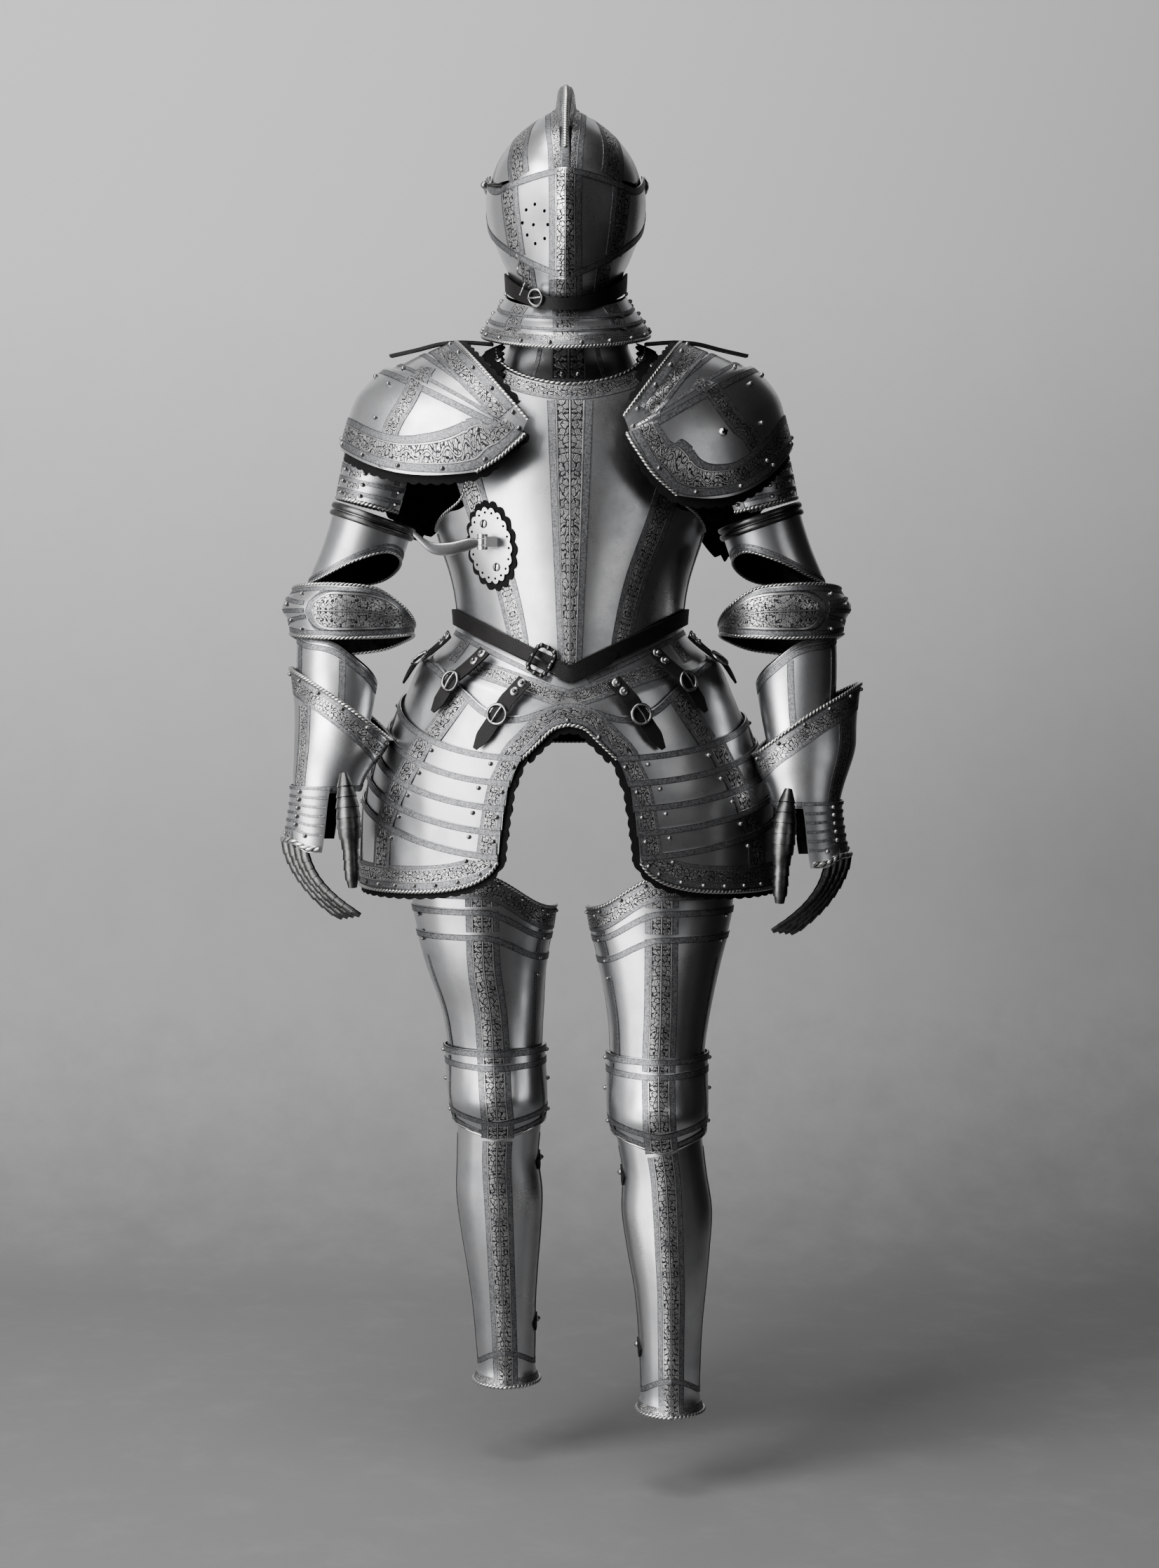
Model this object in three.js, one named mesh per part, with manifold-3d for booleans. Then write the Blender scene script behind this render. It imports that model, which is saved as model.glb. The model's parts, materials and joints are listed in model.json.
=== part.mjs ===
// A man's suit of plate armour for the field, standing empty in the pose in which it is worn.
// Millimetres. +Z is up, the wearer faces -Y and the wearer's left is +X.
// The origin is the middle of the waist, where the belt carries the leg and hip armour.
// Every plate is a wall with one outer face and one inner face, laid on the form of a limb.
import * as THREE from "three";
import { mergeVertices } from "three/addons/utils/BufferGeometryUtils.js";
import Module from "manifold-3d";

const wasm = await Module();
wasm.setup();

// ---- driving sizes ----
const PLATE = 2; // wall of a large plate
const LAME = 1.6; // wall of a narrow sliding plate
const LEATHER = 3;
const CLEAR = 0.8; // air between plates that pass over each other
const OVERLAP = 8; // how far one lame runs under the next
const MIDDLE = -3; // X of the plane between the two arms
const DEG = Math.PI / 180;

// ---- number helpers ----
const mix = (a, b, t) => a + (b - a) * t;
const clamp01 = (t) => Math.min(1, Math.max(0, t));
const smooth = (t) => clamp01(t) ** 2 * (3 - 2 * clamp01(t));

// A smooth curve through (x, y) pairs, held flat past both ends.
function curve(pairs) {
  const p = [...pairs].sort((a, b) => a[0] - b[0]);
  const slope = p.map((_, i) => {
    const before = p[Math.max(0, i - 1)];
    const after = p[Math.min(p.length - 1, i + 1)];
    return (after[1] - before[1]) / (after[0] - before[0]);
  });
  return (x) => {
    if (x <= p[0][0]) return p[0][1];
    if (x >= p.at(-1)[0]) return p.at(-1)[1];
    const i = p.findIndex((q) => q[0] > x) - 1;
    const span = p[i + 1][0] - p[i][0];
    const t = (x - p[i][0]) / span;
    const rise = t * t * (3 - 2 * t);
    return (
      mix(p[i][1], p[i + 1][1], rise) +
      span * (slope[i] * t * (1 - t) ** 2 - slope[i + 1] * t * t * (1 - t))
    );
  };
}

// A table with named columns becomes one curve for each column, read at the first column's value.
function sections(columns, rows) {
  const read = columns.slice(1).map((_, i) => curve(rows.map((r) => [r[0], r[i + 1]])));
  return (z) => Object.fromEntries(columns.slice(1).map((name, i) => [name, read[i](z)]));
}

// ---- forms: (angle in degrees from the front, height, offset outwards) to a point ----
// Angle 0 is the front, +90 is +X and 180 is the back.
function ringForm(at, keelWidth = 20) {
  return (angle, z, out = 0) => {
    const s = at(z);
    const sin = Math.sin(angle * DEG);
    const cos = Math.cos(angle * DEG);
    const side = sin < 0 && s.right !== undefined ? s.right : s.left;
    const depth = cos > 0 ? s.front : (s.back ?? s.front);
    const turned = Math.abs(((angle + 540) % 360) - 180);
    const keel = (s.keel ?? 0) * Math.max(0, 1 - turned / keelWidth);
    return new THREE.Vector3(
      s.x + sin * (side + out),
      s.y - cos * (depth + out) - keel,
      z,
    );
  };
}

const mirrored = (form) => (angle, z, out) => {
  const p = form(-angle, z, out);
  return p.setX(2 * MIDDLE - p.x);
};

// ---- solids ----
function solidOf(geometry) {
  const bare = new THREE.BufferGeometry().setAttribute("position", geometry.getAttribute("position"));
  if (geometry.index) bare.setIndex(geometry.index);
  const merged = mergeVertices(bare, 1e-4);
  return new wasm.Manifold(
    new wasm.Mesh({
      numProp: 3,
      vertProperties: new Float32Array(merged.attributes.position.array),
      triVerts: new Uint32Array(merged.index.array),
    }),
  );
}

function geometryOf(solid) {
  const mesh = solid.getMesh();
  return new THREE.BufferGeometry()
    .setAttribute("position", new THREE.BufferAttribute(mesh.vertProperties, mesh.numProp))
    .setIndex(new THREE.BufferAttribute(mesh.triVerts, 1));
}

// Closed body from rows of points: rows[j][i] outside, and the same grid inside.
function wallGeometry(outside, inside, wrap) {
  const rows = outside.length;
  const cols = outside[0].length;
  const points = [...outside.flat(), ...inside.flat()];
  const at = (layer, j, i) => layer * rows * cols + j * cols + (i % cols);
  const faces = [];
  const quad = (a, b, c, d) => faces.push(a, b, c, a, c, d);
  const last = wrap ? cols : cols - 1;
  for (let j = 0; j < rows - 1; j++)
    for (let i = 0; i < last; i++) {
      quad(at(0, j, i), at(0, j + 1, i), at(0, j + 1, i + 1), at(0, j, i + 1));
      quad(at(1, j, i), at(1, j, i + 1), at(1, j + 1, i + 1), at(1, j + 1, i));
    }
  for (let i = 0; i < last; i++) {
    quad(at(0, 0, i), at(0, 0, i + 1), at(1, 0, i + 1), at(1, 0, i));
    quad(at(0, rows - 1, i), at(1, rows - 1, i), at(1, rows - 1, i + 1), at(0, rows - 1, i + 1));
  }
  if (!wrap)
    for (let j = 0; j < rows - 1; j++) {
      quad(at(0, j, 0), at(1, j, 0), at(1, j + 1, 0), at(0, j + 1, 0));
      quad(at(0, j, cols - 1), at(0, j + 1, cols - 1), at(1, j + 1, cols - 1), at(1, j, cols - 1));
    }
  const geometry = new THREE.BufferGeometry().setFromPoints(points);
  geometry.setIndex(faces);
  return facingOut(geometry);
}

// Turns every triangle over where a mirrored form has left the body inside out.
function facingOut(geometry) {
  const p = geometry.getAttribute("position");
  const index = geometry.index.array;
  const corner = (k) => new THREE.Vector3().fromBufferAttribute(p, index[k]);
  let volume = 0;
  for (let k = 0; k < index.length; k += 3)
    volume += corner(k).dot(corner(k + 1).cross(corner(k + 2)));
  if (volume < 0)
    for (let k = 0; k < index.length; k += 3)
      [index[k + 1], index[k + 2]] = [index[k + 2], index[k + 1]];
  return geometry;
}

// A plate on a form. left and right give the angle at a share v from top to bottom,
// top and bottom give the height at an angle, and lift(angle, v) raises the outer face.
// steps lists the shares v at which one lame ends and the next, raised again, begins.
function plate({ form, left, right, top, bottom, cols, rows = 1, wall = PLATE, lift = () => 0, wrap = false, steps = [], rise = 0 }) {
  const shares = [];
  const bands = [0, ...steps, 1];
  for (let k = 0; k + 1 < bands.length; k++)
    for (let j = 0; j <= rows; j++)
      shares.push({ v: mix(bands[k], bands[k + 1], j / rows), raised: rise * (1 - j / rows) });
  const count = wrap ? cols : cols + 1;
  const grid = (inward) =>
    shares.map(({ v, raised }) =>
      Array.from({ length: count }, (_, i) => {
        const angle = mix(left(v), right(v), i / cols);
        const z = mix(top(angle), bottom(angle), v);
        return form(angle, z, lift(angle, v) + raised - inward);
      }),
    );
  return wallGeometry(grid(0), grid(wall), wrap);
}

const always = (value) => () => value;

// A flat strap laid along (angle, height) stations of a form.
function strap({ form, path, width, out, thick = LEATHER }) {
  const line = (k, lift) => {
    const [angle, z] = path[k];
    return form(angle, z, out + lift);
  };
  const face = (lift) =>
    path.map((_, k) => {
      const along = line(Math.min(k + 1, path.length - 1), 0).sub(line(Math.max(k - 1, 0), 0));
      const outward = line(k, 10).sub(line(k, 0));
      const across = along.cross(outward).setLength(width / 2);
      return [line(k, lift).sub(across), line(k, lift).add(across)];
    });
  return wallGeometry(face(thick), face(0), false);
}

const STEEL = new THREE.MeshStandardMaterial({ color: 0xb9bbbd, roughness: 0.32, metalness: 1 });
const HIDE = new THREE.MeshStandardMaterial({ color: 0x191513, roughness: 0.6, metalness: 0 });
const armour = new THREE.Group();

function add(name, geometry, material = STEEL) {
  const mesh = new THREE.Mesh(geometry, material);
  mesh.name = name;
  armour.add(mesh);
}

// ---- head ----
const HEAD_X = -4;
const DOME_Z = 573; // height of the helmet's widest ring
const DOME_RISE = 118; // from there to the crown

const helmetAt = sections(
  ["z", "left", "front", "back"],
  [
    [446, 65, 98, 84],
    [470, 68, 106, 90],
    [490, 74, 110, 99],
    [510, 84, 114, 108],
    [545, 98.5, 121, 121],
    [DOME_Z, 101, 124, 126],
  ],
);
const helmetForm = ringForm((z) => {
  const s = helmetAt(z);
  const t = clamp01((z - DOME_Z) / (DOME_RISE + 0.5));
  const round = Math.sqrt(1 - t * t);
  const pointed = (1 - t ** 2.2) ** 0.8; // the crown runs up to the comb like the end of an almond
  return { x: HEAD_X, y: 6, left: s.left * pointed, front: s.front * round, back: s.back * round };
});

// An edge that is level behind and dips by `tip` at the front.
const tipped = (level, tip) => (angle) => level - tip * Math.max(0, Math.cos(angle * DEG)) ** 1.2;

// The skull's lower edge: high over the brow, and down to the nape behind the cheeks.
const skullEdge = (angle) => {
  const turned = Math.abs(((angle + 540) % 360) - 180);
  return mix(584, 446, smooth((turned - 68) / 20));
};
const SKULL_TOP = DOME_Z + DOME_RISE - 0.5;

function skullGeometry() {
  const shell = plate({
    form: (angle, share, out) => {
      const eased = 1 - Math.cos(share * 90 * DEG);
      return helmetForm(angle, mix(SKULL_TOP, skullEdge(angle), eased), out);
    },
    left: always(0),
    right: always(360),
    top: always(0),
    bottom: always(1),
    cols: 20,
    rows: 7,
    wrap: true,
  });
  return geometryOf(solidOf(shell).add(solidOf(combGeometry())));
}

// The comb: a hollow crest raised along the middle of the skull, as a swept section.
const COMB = { first: 12, last: 185, peak: 98, high: 34, base: 13, crest: 6 };
const combHeight = curve([[COMB.first, 1], [45, 7], [70, 21], [COMB.peak, COMB.high], [130, 24], [160, 9], [COMB.last, 1]]);

function combGeometry() {
  const stations = 11;
  const section = (k) => {
    const turn = mix(COMB.first, COMB.last, k / stations);
    const high = combHeight(turn);
    const fat = mix(0.5, 1, high / COMB.high);
    const reach = turn < 90 ? 124 : 126;
    const place = (x, lift) =>
      new THREE.Vector3(
        HEAD_X + x * fat,
        6 - Math.cos(turn * DEG) * (reach + lift),
        DOME_Z + Math.sin(turn * DEG) * (DOME_RISE + lift),
      );
    return [
      place(-COMB.base, -3),
      place(-COMB.crest - 2, high * 0.45),
      place(-COMB.crest, high * 0.85),
      place(0, high),
      place(COMB.crest, high * 0.85),
      place(COMB.crest + 2, high * 0.45),
      place(COMB.base, -3),
    ];
  };
  return rodGeometry(Array.from({ length: stations + 1 }, (_, k) => section(k)));
}

// A solid rod from closed sections of equal point counts, with flat ends.
function rodGeometry(rings) {
  const size = rings[0].length;
  const faces = [];
  const at = (k, i) => k * size + (i % size);
  for (let k = 0; k + 1 < rings.length; k++)
    for (let i = 0; i < size; i++)
      faces.push(at(k, i), at(k, i + 1), at(k + 1, i + 1), at(k, i), at(k + 1, i + 1), at(k + 1, i));
  for (let i = 1; i + 1 < size; i++)
    faces.push(at(0, 0), at(0, i + 1), at(0, i), at(rings.length - 1, 0), at(rings.length - 1, i), at(rings.length - 1, i + 1));
  const geometry = new THREE.BufferGeometry().setFromPoints(rings.flat());
  geometry.setIndex(faces);
  return facingOut(geometry);
}

const visorForm = ringForm(
  (() => {
    const at = sections(
      ["z", "left", "front", "keel"],
      [
        [450, 83, 122, 10],
        [480, 91, 130, 15],
        [520, 101, 137, 18],
        [560, 106, 137, 14],
        [590, 106, 132, 7],
        [618, 104, 124, 0],
      ],
    );
    return (z) => ({ x: HEAD_X, y: 6, ...at(z) });
  })(),
  55,
);
const visorTop = curve([[-97, 612], [-84, 604], [-58, 577], [0, 591], [58, 577], [84, 604], [97, 612]]);
const visorFoot = curve([[-97, 548], [-84, 526], [-52, 491], [0, 455], [52, 491], [84, 526], [97, 548]]);

const bevorForm = ringForm(
  (() => {
    const at = sections(
      ["z", "left", "front", "keel"],
      [
        [424, 70, 92, 3],
        [445, 71, 100, 5],
        [470, 75.5, 113, 9],
        [490, 84.5, 123, 12],
        [522, 97.5, 131, 13],
      ],
    );
    return (z) => ({ x: HEAD_X, y: 6, ...at(z) });
  })(),
  55,
);
const bevorTop = curve([[-92, 522], [-52, 505], [0, 470], [52, 505], [92, 522]]);

add("helmet_skull", skullGeometry());
add("helmet_visor", plate({ form: visorForm, left: always(-97), right: always(97), top: visorTop, bottom: visorFoot, cols: 16, rows: 4 }));
add("helmet_bevor", plate({ form: bevorForm, left: always(-92), right: always(92), top: bevorTop, bottom: tipped(451, 27), cols: 12, rows: 3, wall: LAME }));

// The peg that lifts the visor, on the wearer's right.
const PEG = { tip: 3, root: 4, long: 26, turn: 108, middle: [-98, -98, 574] };
const peg = new THREE.CylinderGeometry(PEG.tip, PEG.root, PEG.long, 10);
peg.rotateZ(PEG.turn * DEG).translate(...PEG.middle);
add("helmet_peg", peg);

// ---- neck ----
// Rings that tip down at the front.
const collarForm = ringForm(
  (() => {
    const at = sections(
      ["z", "left", "front", "back"],
      [
        [355, 121, 142, 124],
        [375, 119, 132, 123],
        [390, 116, 120, 120],
        [403, 111, 107, 116],
        [416, 101, 97, 107],
        [430, 88, 93, 96],
        [450, 76, 90, 88],
      ],
    );
    return (z) => ({ x: HEAD_X, y: 4, ...at(z) });
  })(),
);
const COLLAR_EDGES = [445, 428, 412, 391];
COLLAR_EDGES.slice(1).forEach((foot, i) =>
  add(
    `collar_lame_${i + 1}`,
    plate({
      form: collarForm,
      left: always(0),
      right: always(360),
      top: tipped(COLLAR_EDGES[i] + (i ? 4 : 0), 28),
      bottom: tipped(foot, 28),
      cols: 20,
      wall: LAME,
      wrap: true,
      lift: () => -i * (LAME + CLEAR),
    }),
  ),
);

const strapForm = ringForm(
  (() => {
    const at = sections(["z", "left", "front", "back"], [[410, 80, 106, 95], [430, 80, 110, 95], [472, 82, 122, 98]]);
    return (z) => ({ x: HEAD_X, y: 5, ...at(z) });
  })(),
);
add(
  "neck_strap",
  plate({
    form: strapForm,
    left: always(0),
    right: always(360),
    top: tipped(472, 46),
    bottom: tipped(453, 38),
    cols: 20,
    wall: LEATHER,
    wrap: true,
  }),
  HIDE,
);

// ---- body ----
const torsoAt = sections(
  ["z", "left", "front", "back", "keel"],
  [
    [-80, 150, 146, 108, 12],
    [0, 149, 142, 106, 12],
    [60, 156, 138, 112, 10],
    [140, 180, 132, 126, 7],
    [220, 190, 124, 134, 5],
    [290, 176, 110, 126, 3],
    [330, 146, 94, 108, 2],
    [378, 104, 62, 78, 0],
  ],
);
const torsoForm = ringForm((z) => ({ x: 2, y: 0, ...torsoAt(z) }), 50);
// The waist line dips to a point in front.
const waist = (angle) => {
  const forward = Math.cos(angle * DEG) > 0 ? Math.abs(Math.sin(angle * DEG)) : 1;
  return mix(-66, 6, forward);
};
const armhole = curve([[130, 88], [148, 70], [170, 51], [200, 43], [250, 41], [310, 46], [370, 58]]);
const breastFoot = (angle) => waist(angle) + 1;
const neckline = (angle) => mix(318, 368, clamp01(Math.abs(angle) / 58) ** 1.7);
const breastSide = (v) => armhole(mix(368, 6, v));
add(
  "breastplate",
  plate({ form: torsoForm, left: (v) => -breastSide(v), right: breastSide, top: neckline, bottom: breastFoot, cols: 14, rows: 10 }),
);
const backArmhole = curve([[130, 84], [150, 100], [175, 122], [210, 134], [300, 136], [385, 128]]);
const backSide = (v) => backArmhole(mix(375, 6, v));
add(
  "backplate",
  plate({
    form: torsoForm,
    left: backSide,
    right: (v) => 360 - backSide(v),
    top: always(376),
    bottom: always(8),
    cols: 12,
    rows: 7,
    lift: () => -PLATE - 3,
  }),
);
add(
  "waist_belt",
  plate({
    form: torsoForm,
    left: always(0),
    right: always(360),
    top: (angle) => waist(angle) + 22,
    bottom: (angle) => waist(angle) + 2,
    cols: 24,
    wall: LEATHER,
    wrap: true,
    lift: () => 3.6 + LEATHER,
  }),
  HIDE,
);

const gorgetForm = ringForm(
  (() => {
    const at = sections(["z", "left", "front", "back"], [[318, 112, 84, 88], [350, 90, 66, 66], [400, 70, 66, 66]]);
    return (z) => ({ x: 0, y: 2, ...at(z) });
  })(),
);
add("gorget", plate({ form: gorgetForm, left: always(0), right: always(360), top: always(402), bottom: always(318), cols: 18, rows: 2, wrap: true }));

// ---- skirt: two hoops in front, a tasset of five lames for each thigh, and a rump guard ----
const skirtAt = sections(
  ["z", "left", "front", "back"],
  [
    [-345, 265, 166, 160],
    [-220, 258, 166, 168],
    [-150, 237, 164, 168],
    [-85, 210, 161, 160],
    [-50, 195, 158, 148],
    [-20, 176, 154, 130],
    [10, 150, 150, 108],
  ],
);
const skirtForm = (angle, z, out) => {
  const at = ringForm((h) => {
    const torso = torsoAt(h);
    const skirt = skirtAt(h);
    const blend = clamp01((waist(angle) - h) / 45) ** 0.8;
    const column = (name) => mix(torso[name], skirt[name], blend);
    return { x: 1, y: 0, left: column("left"), front: column("front"), back: column("back"), keel: mix(12, 4, blend) };
  }, 50);
  return at(angle, z, out);
};

const TASSET_BACK = 98; // the angle at which the front skirt ends, just behind the hip
const HOOP = curve([[0, -86], [7, -97], [18, -109], [28, -101], [40, -75], [60, -45], [TASSET_BACK, -25]]);
const ARCH = curve([[0, -119], [5, -125], [9, -141], [14, -163]]);
const LAME_HEIGHTS = [-158, -190, -222, -253, -284]; // upper edge of each tasset lame at its inner end
const SIDES = [
  { name: "r", dir: -1, rise: 74, hand: 0, flare: 0 },
  { name: "l", dir: 1, rise: 50, hand: 20, flare: 18 },
];
// The upper edge of tasset lame i: it climbs from the groin to the hip.
const lameEdge = (i, rise) => (angle) => LAME_HEIGHTS[i] + rise * smooth((Math.abs(angle) - 14) / 95) * 1.05;
const riseAt = (angle) => (angle < 0 ? SIDES[0].rise : SIDES[1].rise);
const hoopFoot = (angle) =>
  Math.abs(angle) < 14 ? ARCH(Math.abs(angle)) : lameEdge(0, riseAt(angle))(angle) - OVERLAP;

add(
  "skirt_hoop_1",
  plate({
    form: skirtForm,
    left: always(-TASSET_BACK),
    right: always(TASSET_BACK),
    top: (angle) => waist(angle),
    bottom: (angle) => HOOP(Math.abs(angle)) - OVERLAP * smooth((Math.abs(angle) - 4) / 10),
    cols: 24,
    rows: 3,
    wall: LAME,
  }),
);
const LAME_LIFT = LAME + CLEAR;
const shingle = (angle, v) => LAME_LIFT * (1 - v);
add(
  "skirt_hoop_2",
  plate({
    form: skirtForm,
    left: always(-TASSET_BACK),
    right: always(TASSET_BACK),
    top: (angle) => HOOP(Math.abs(angle)) + 1,
    bottom: hoopFoot,
    cols: 24,
    rows: 3,
    wall: LAME,
    lift: (angle, v) => LAME_LIFT * 2.3 + shingle(angle, v) * 0.6,
  }),
);

const innerEdge = curve([[-284, 19], [-222, 17.6], [-190, 16.6], [-158, 14]]); // angle of the tasset's inner edge
const tassetFoot = curve([[18, -286], [21.5, -308], [28, -324], [39, -333], [60, -336], [TASSET_BACK, -332]]);
for (const side of SIDES)
  LAME_HEIGHTS.forEach((height, i) => {
    const last = i === LAME_HEIGHTS.length - 1;
    const foot = last ? (angle) => tassetFoot(Math.abs(angle)) : (angle) => lameEdge(i + 1, side.rise)(angle) - OVERLAP;
    const inner = (v) => side.dir * innerEdge(mix(height, LAME_HEIGHTS[i + 1] ?? -290, v));
    add(
      `tasset_${side.name}_${i + 1}`,
      plate({
        form: skirtForm,
        left: inner,
        right: always(side.dir * TASSET_BACK),
        top: lameEdge(i, side.rise),
        bottom: foot,
        cols: 8,
        rows: last ? 2 : 1,
        wall: LAME,
        lift: (angle, v) => LAME_LIFT * 3.8 + i * 1.2 + shingle(angle, v),
      }),
    );
  });

add(
  "rump_guard",
  plate({
    form: skirtForm,
    left: always(102),
    right: always(258),
    top: always(5),
    bottom: (angle) => -128 - 26 * Math.max(0, -Math.cos(angle * DEG)),
    cols: 10,
    steps: [0.36, 0.68],
    wall: 2.4,
    rise: 1.6,
  }),
);

// Hanging straps: start and end as angle and height on the skirt, three for each tasset.
const STRAPS = [
  { start: [17, -62], end: [28, -150] },
  { start: [39, -25], end: [48, -104] },
  { start: [68, -4], end: [82, -68] },
];
for (const side of SIDES)
  STRAPS.forEach(({ start, end }, i) => {
    const path = Array.from({ length: 5 }, (_, k) => [
      side.dir * mix(start[0], end[0], k / 4),
      mix(start[1], end[1], k / 4),
    ]);
    add(`tasset_strap_${side.name}_${i + 1}`, strap({ form: skirtForm, path, width: 17, out: 16 }), HIDE);
  });

// ---- lance rest on the right breast ----
const REST = { x: -101, z: 108, tall: 52, wide: 30, tilt: -9 };
function restPlateGeometry() {
  const lobes = 12;
  const turn = REST.tilt * DEG;
  const face = (out) =>
    [0.3, 0.7, 1].map((share) =>
      Array.from({ length: lobes * 2 }, (_, k) => {
        const t = -(k / (lobes * 2)) * 2 * Math.PI;
        const reach = share * (k % 2 ? 1 : 0.94);
        const x = REST.wide * Math.sin(t) * reach;
        const z = REST.tall * Math.cos(t) * reach;
        const height = REST.z - x * Math.sin(turn) + z * Math.cos(turn);
        const across = REST.x + x * Math.cos(turn) + z * Math.sin(turn);
        const angle = Math.asin((across - 2) / torsoAt(height).left) / DEG;
        return torsoForm(angle, height, out);
      }),
    );
  return wallGeometry(face(5), face(2.4), true);
}
add("lance_rest_plate", restPlateGeometry());

// The arm folds up about an upright pin beside the plate; at rest it stands out to the right.
const HINGE = new THREE.Vector3(-110, -130, 110);
function restArmGeometry() {
  const stations = sections(
    ["s", "x", "y", "z", "high", "thick"],
    [
      [0, 0, 0, 0, 12, 8],
      [1, -18, -3, -4, 11, 7],
      [2, -42, -6, -9, 8.5, 7],
      [3, -66, -8, -4, 7, 6],
      [4, -88, -9, 14, 4, 4],
    ],
  );
  const rings = Array.from({ length: 9 }, (_, k) => {
    const s = stations(k / 2);
    return Array.from({ length: 6 }, (_, i) => {
      const t = (i / 6) * 2 * Math.PI;
      return new THREE.Vector3(
        HINGE.x + s.x,
        HINGE.y + s.y + (s.thick / 2) * Math.sin(t),
        HINGE.z + s.z + s.high * Math.cos(t),
      );
    });
  });
  return rodGeometry(rings);
}
add("lance_rest_arm", restArmGeometry());

// ---- arms: every form is the right arm's, and the left arm is its mirror ----
const armForm = ringForm(
  sections(
    ["z", "x", "y", "left", "front", "back"],
    [
      [270, -232, 5, 56, 58, 58],
      [200, -247, 6, 56, 57, 57],
      [160, -257, 8, 54, 56, 55],
      [110, -272, 11, 56, 54, 54],
      [64, -290, 14, 57, 53, 53],
      [28, -301, 8, 56, 52, 52],
      [-10, -306, -3, 54, 51, 51],
      [-65, -305, -30, 53, 49, 49],
      [-116, -305, -56, 47, 44, 44],
      [-170, -309, -78, 41, 37, 37],
      [-215, -313, -92, 37, 32, 32],
    ],
  ),
);
const couterForm = ringForm(
  sections(
    ["z", "x", "y", "left", "right", "front", "back"],
    [
      [64, -293, 11, 84, 70, 70, 68],
      [50, -293, 11, 86, 76, 78, 72],
      [32, -293, 11, 88, 88, 82, 74],
      [12, -293, 11, 88, 80, 80, 74],
      [-10, -293, 11, 86, 76, 78, 70],
      [-34, -293, 11, 84, 70, 68, 66],
    ],
  ),
);
const couterTop = curve([[-180, 36], [-135, 48], [-90, 55], [-45, 60], [0, 60], [30, 54], [60, 30], [90, 8], [120, 4], [150, 18], [180, 36]]);
const couterFoot = curve([[-180, -32], [-135, -20], [-90, -5], [-45, -8], [0, -10], [45, -8], [75, -5], [90, -6], [120, -14], [150, -26], [180, -32]]);
const cannonTop = (angle) => 153 - 18 * Math.sin(angle * DEG);
const cannonFoot = curve([[-180, 60], [-90, 58], [-45, 68], [0, 92], [40, 103], [90, 88], [140, 66], [180, 60]]);
const forearmTop = curve([[-180, -20], [-90, 0], [-45, -8], [0, -16], [45, -46], [90, -68], [140, -46], [180, -20]]);

// Pauldron: u runs from the wing on the back (-1), over the shoulder (0), to the wing on the chest (1).
// Each row gives the outline over the shoulder, the tip on the chest, how far it sags and its depth.
const pauldronRows = (rows) => sections(["row", "outX", "outZ", "tipX", "tipZ", "sag", "deep"], rows);
const PAULDRON = {
  r: pauldronRows([
    [0, -150, 381, -46, 262, 0, 158],
    [1, -188, 366, -47, 256, 0, 160],
    [2, -220, 352, -48, 250, 0, 162],
    [3, -243, 340, -49, 244, 0, 164],
    [4, -276, 306, -54, 234, 6, 166],
    [5, -291, 265, -64, 220, 22, 164],
    [6, -298, 236, -80, 206, 27, 158],
  ]),
  l: pauldronRows([
    [0, -148, 380, -66, 266, 0, 158],
    [1, -186, 366, -67, 259, 0, 160],
    [2, -218, 354, -68, 252, 0, 162],
    [3, -243, 342, -69, 245, 0, 164],
    [4, -272, 308, -76, 226, 14, 166],
    [5, -285, 266, -88, 200, 34, 164],
    [6, -292, 238, -106, 178, 44, 156],
  ]),
};
const pauldronForm = (at, dir) => (turn, row, out) => {
  const s = at(row);
  const sin = Math.sin(Math.abs(turn) * DEG);
  const cos = Math.cos(turn * DEG);
  const share = 1 - cos;
  const x = mix(s.outX, s.tipX, share) - out * cos * 0.8;
  const z = mix(s.outZ, s.tipZ, share) - s.sag * sin * sin * cos * 2.4 + out * cos * 0.6;
  const y = 4 - Math.sign(turn) * (s.deep + out) * sin ** 0.9;
  return new THREE.Vector3(dir < 0 ? x : -x, y, z);
};

// Gauntlet: the cuff, the wrist and the back of the hand on one form, thumb to the front.
const gauntletForm = (flare, drop) =>
  ringForm((z) => {
    const s = GAUNTLET(z + drop);
    const swung = flare * smooth((z + drop + 210) / 90);
    return { ...s, x: s.x - swung, right: s.right + swung * 0.3 };
  });
const GAUNTLET = sections(
  ["z", "x", "y", "left", "right", "front", "back"],
  [
    [-45, -285, -22, 84, 82, 70, 66],
    [-100, -288, -49, 70, 71, 62, 58],
    [-150, -295, -70, 60, 62, 52, 50],
    [-190, -308, -84, 46, 49, 43, 45],
    [-215, -313, -92, 43, 43, 40, 42],
    [-260, -317, -96, 42, 45, 45, 50],
    [-292, -321, -98, 40, 46, 48, 52],
  ],
);
const cuffTop = (angle) => -96 - 46 * Math.sin(angle * DEG);

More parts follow.
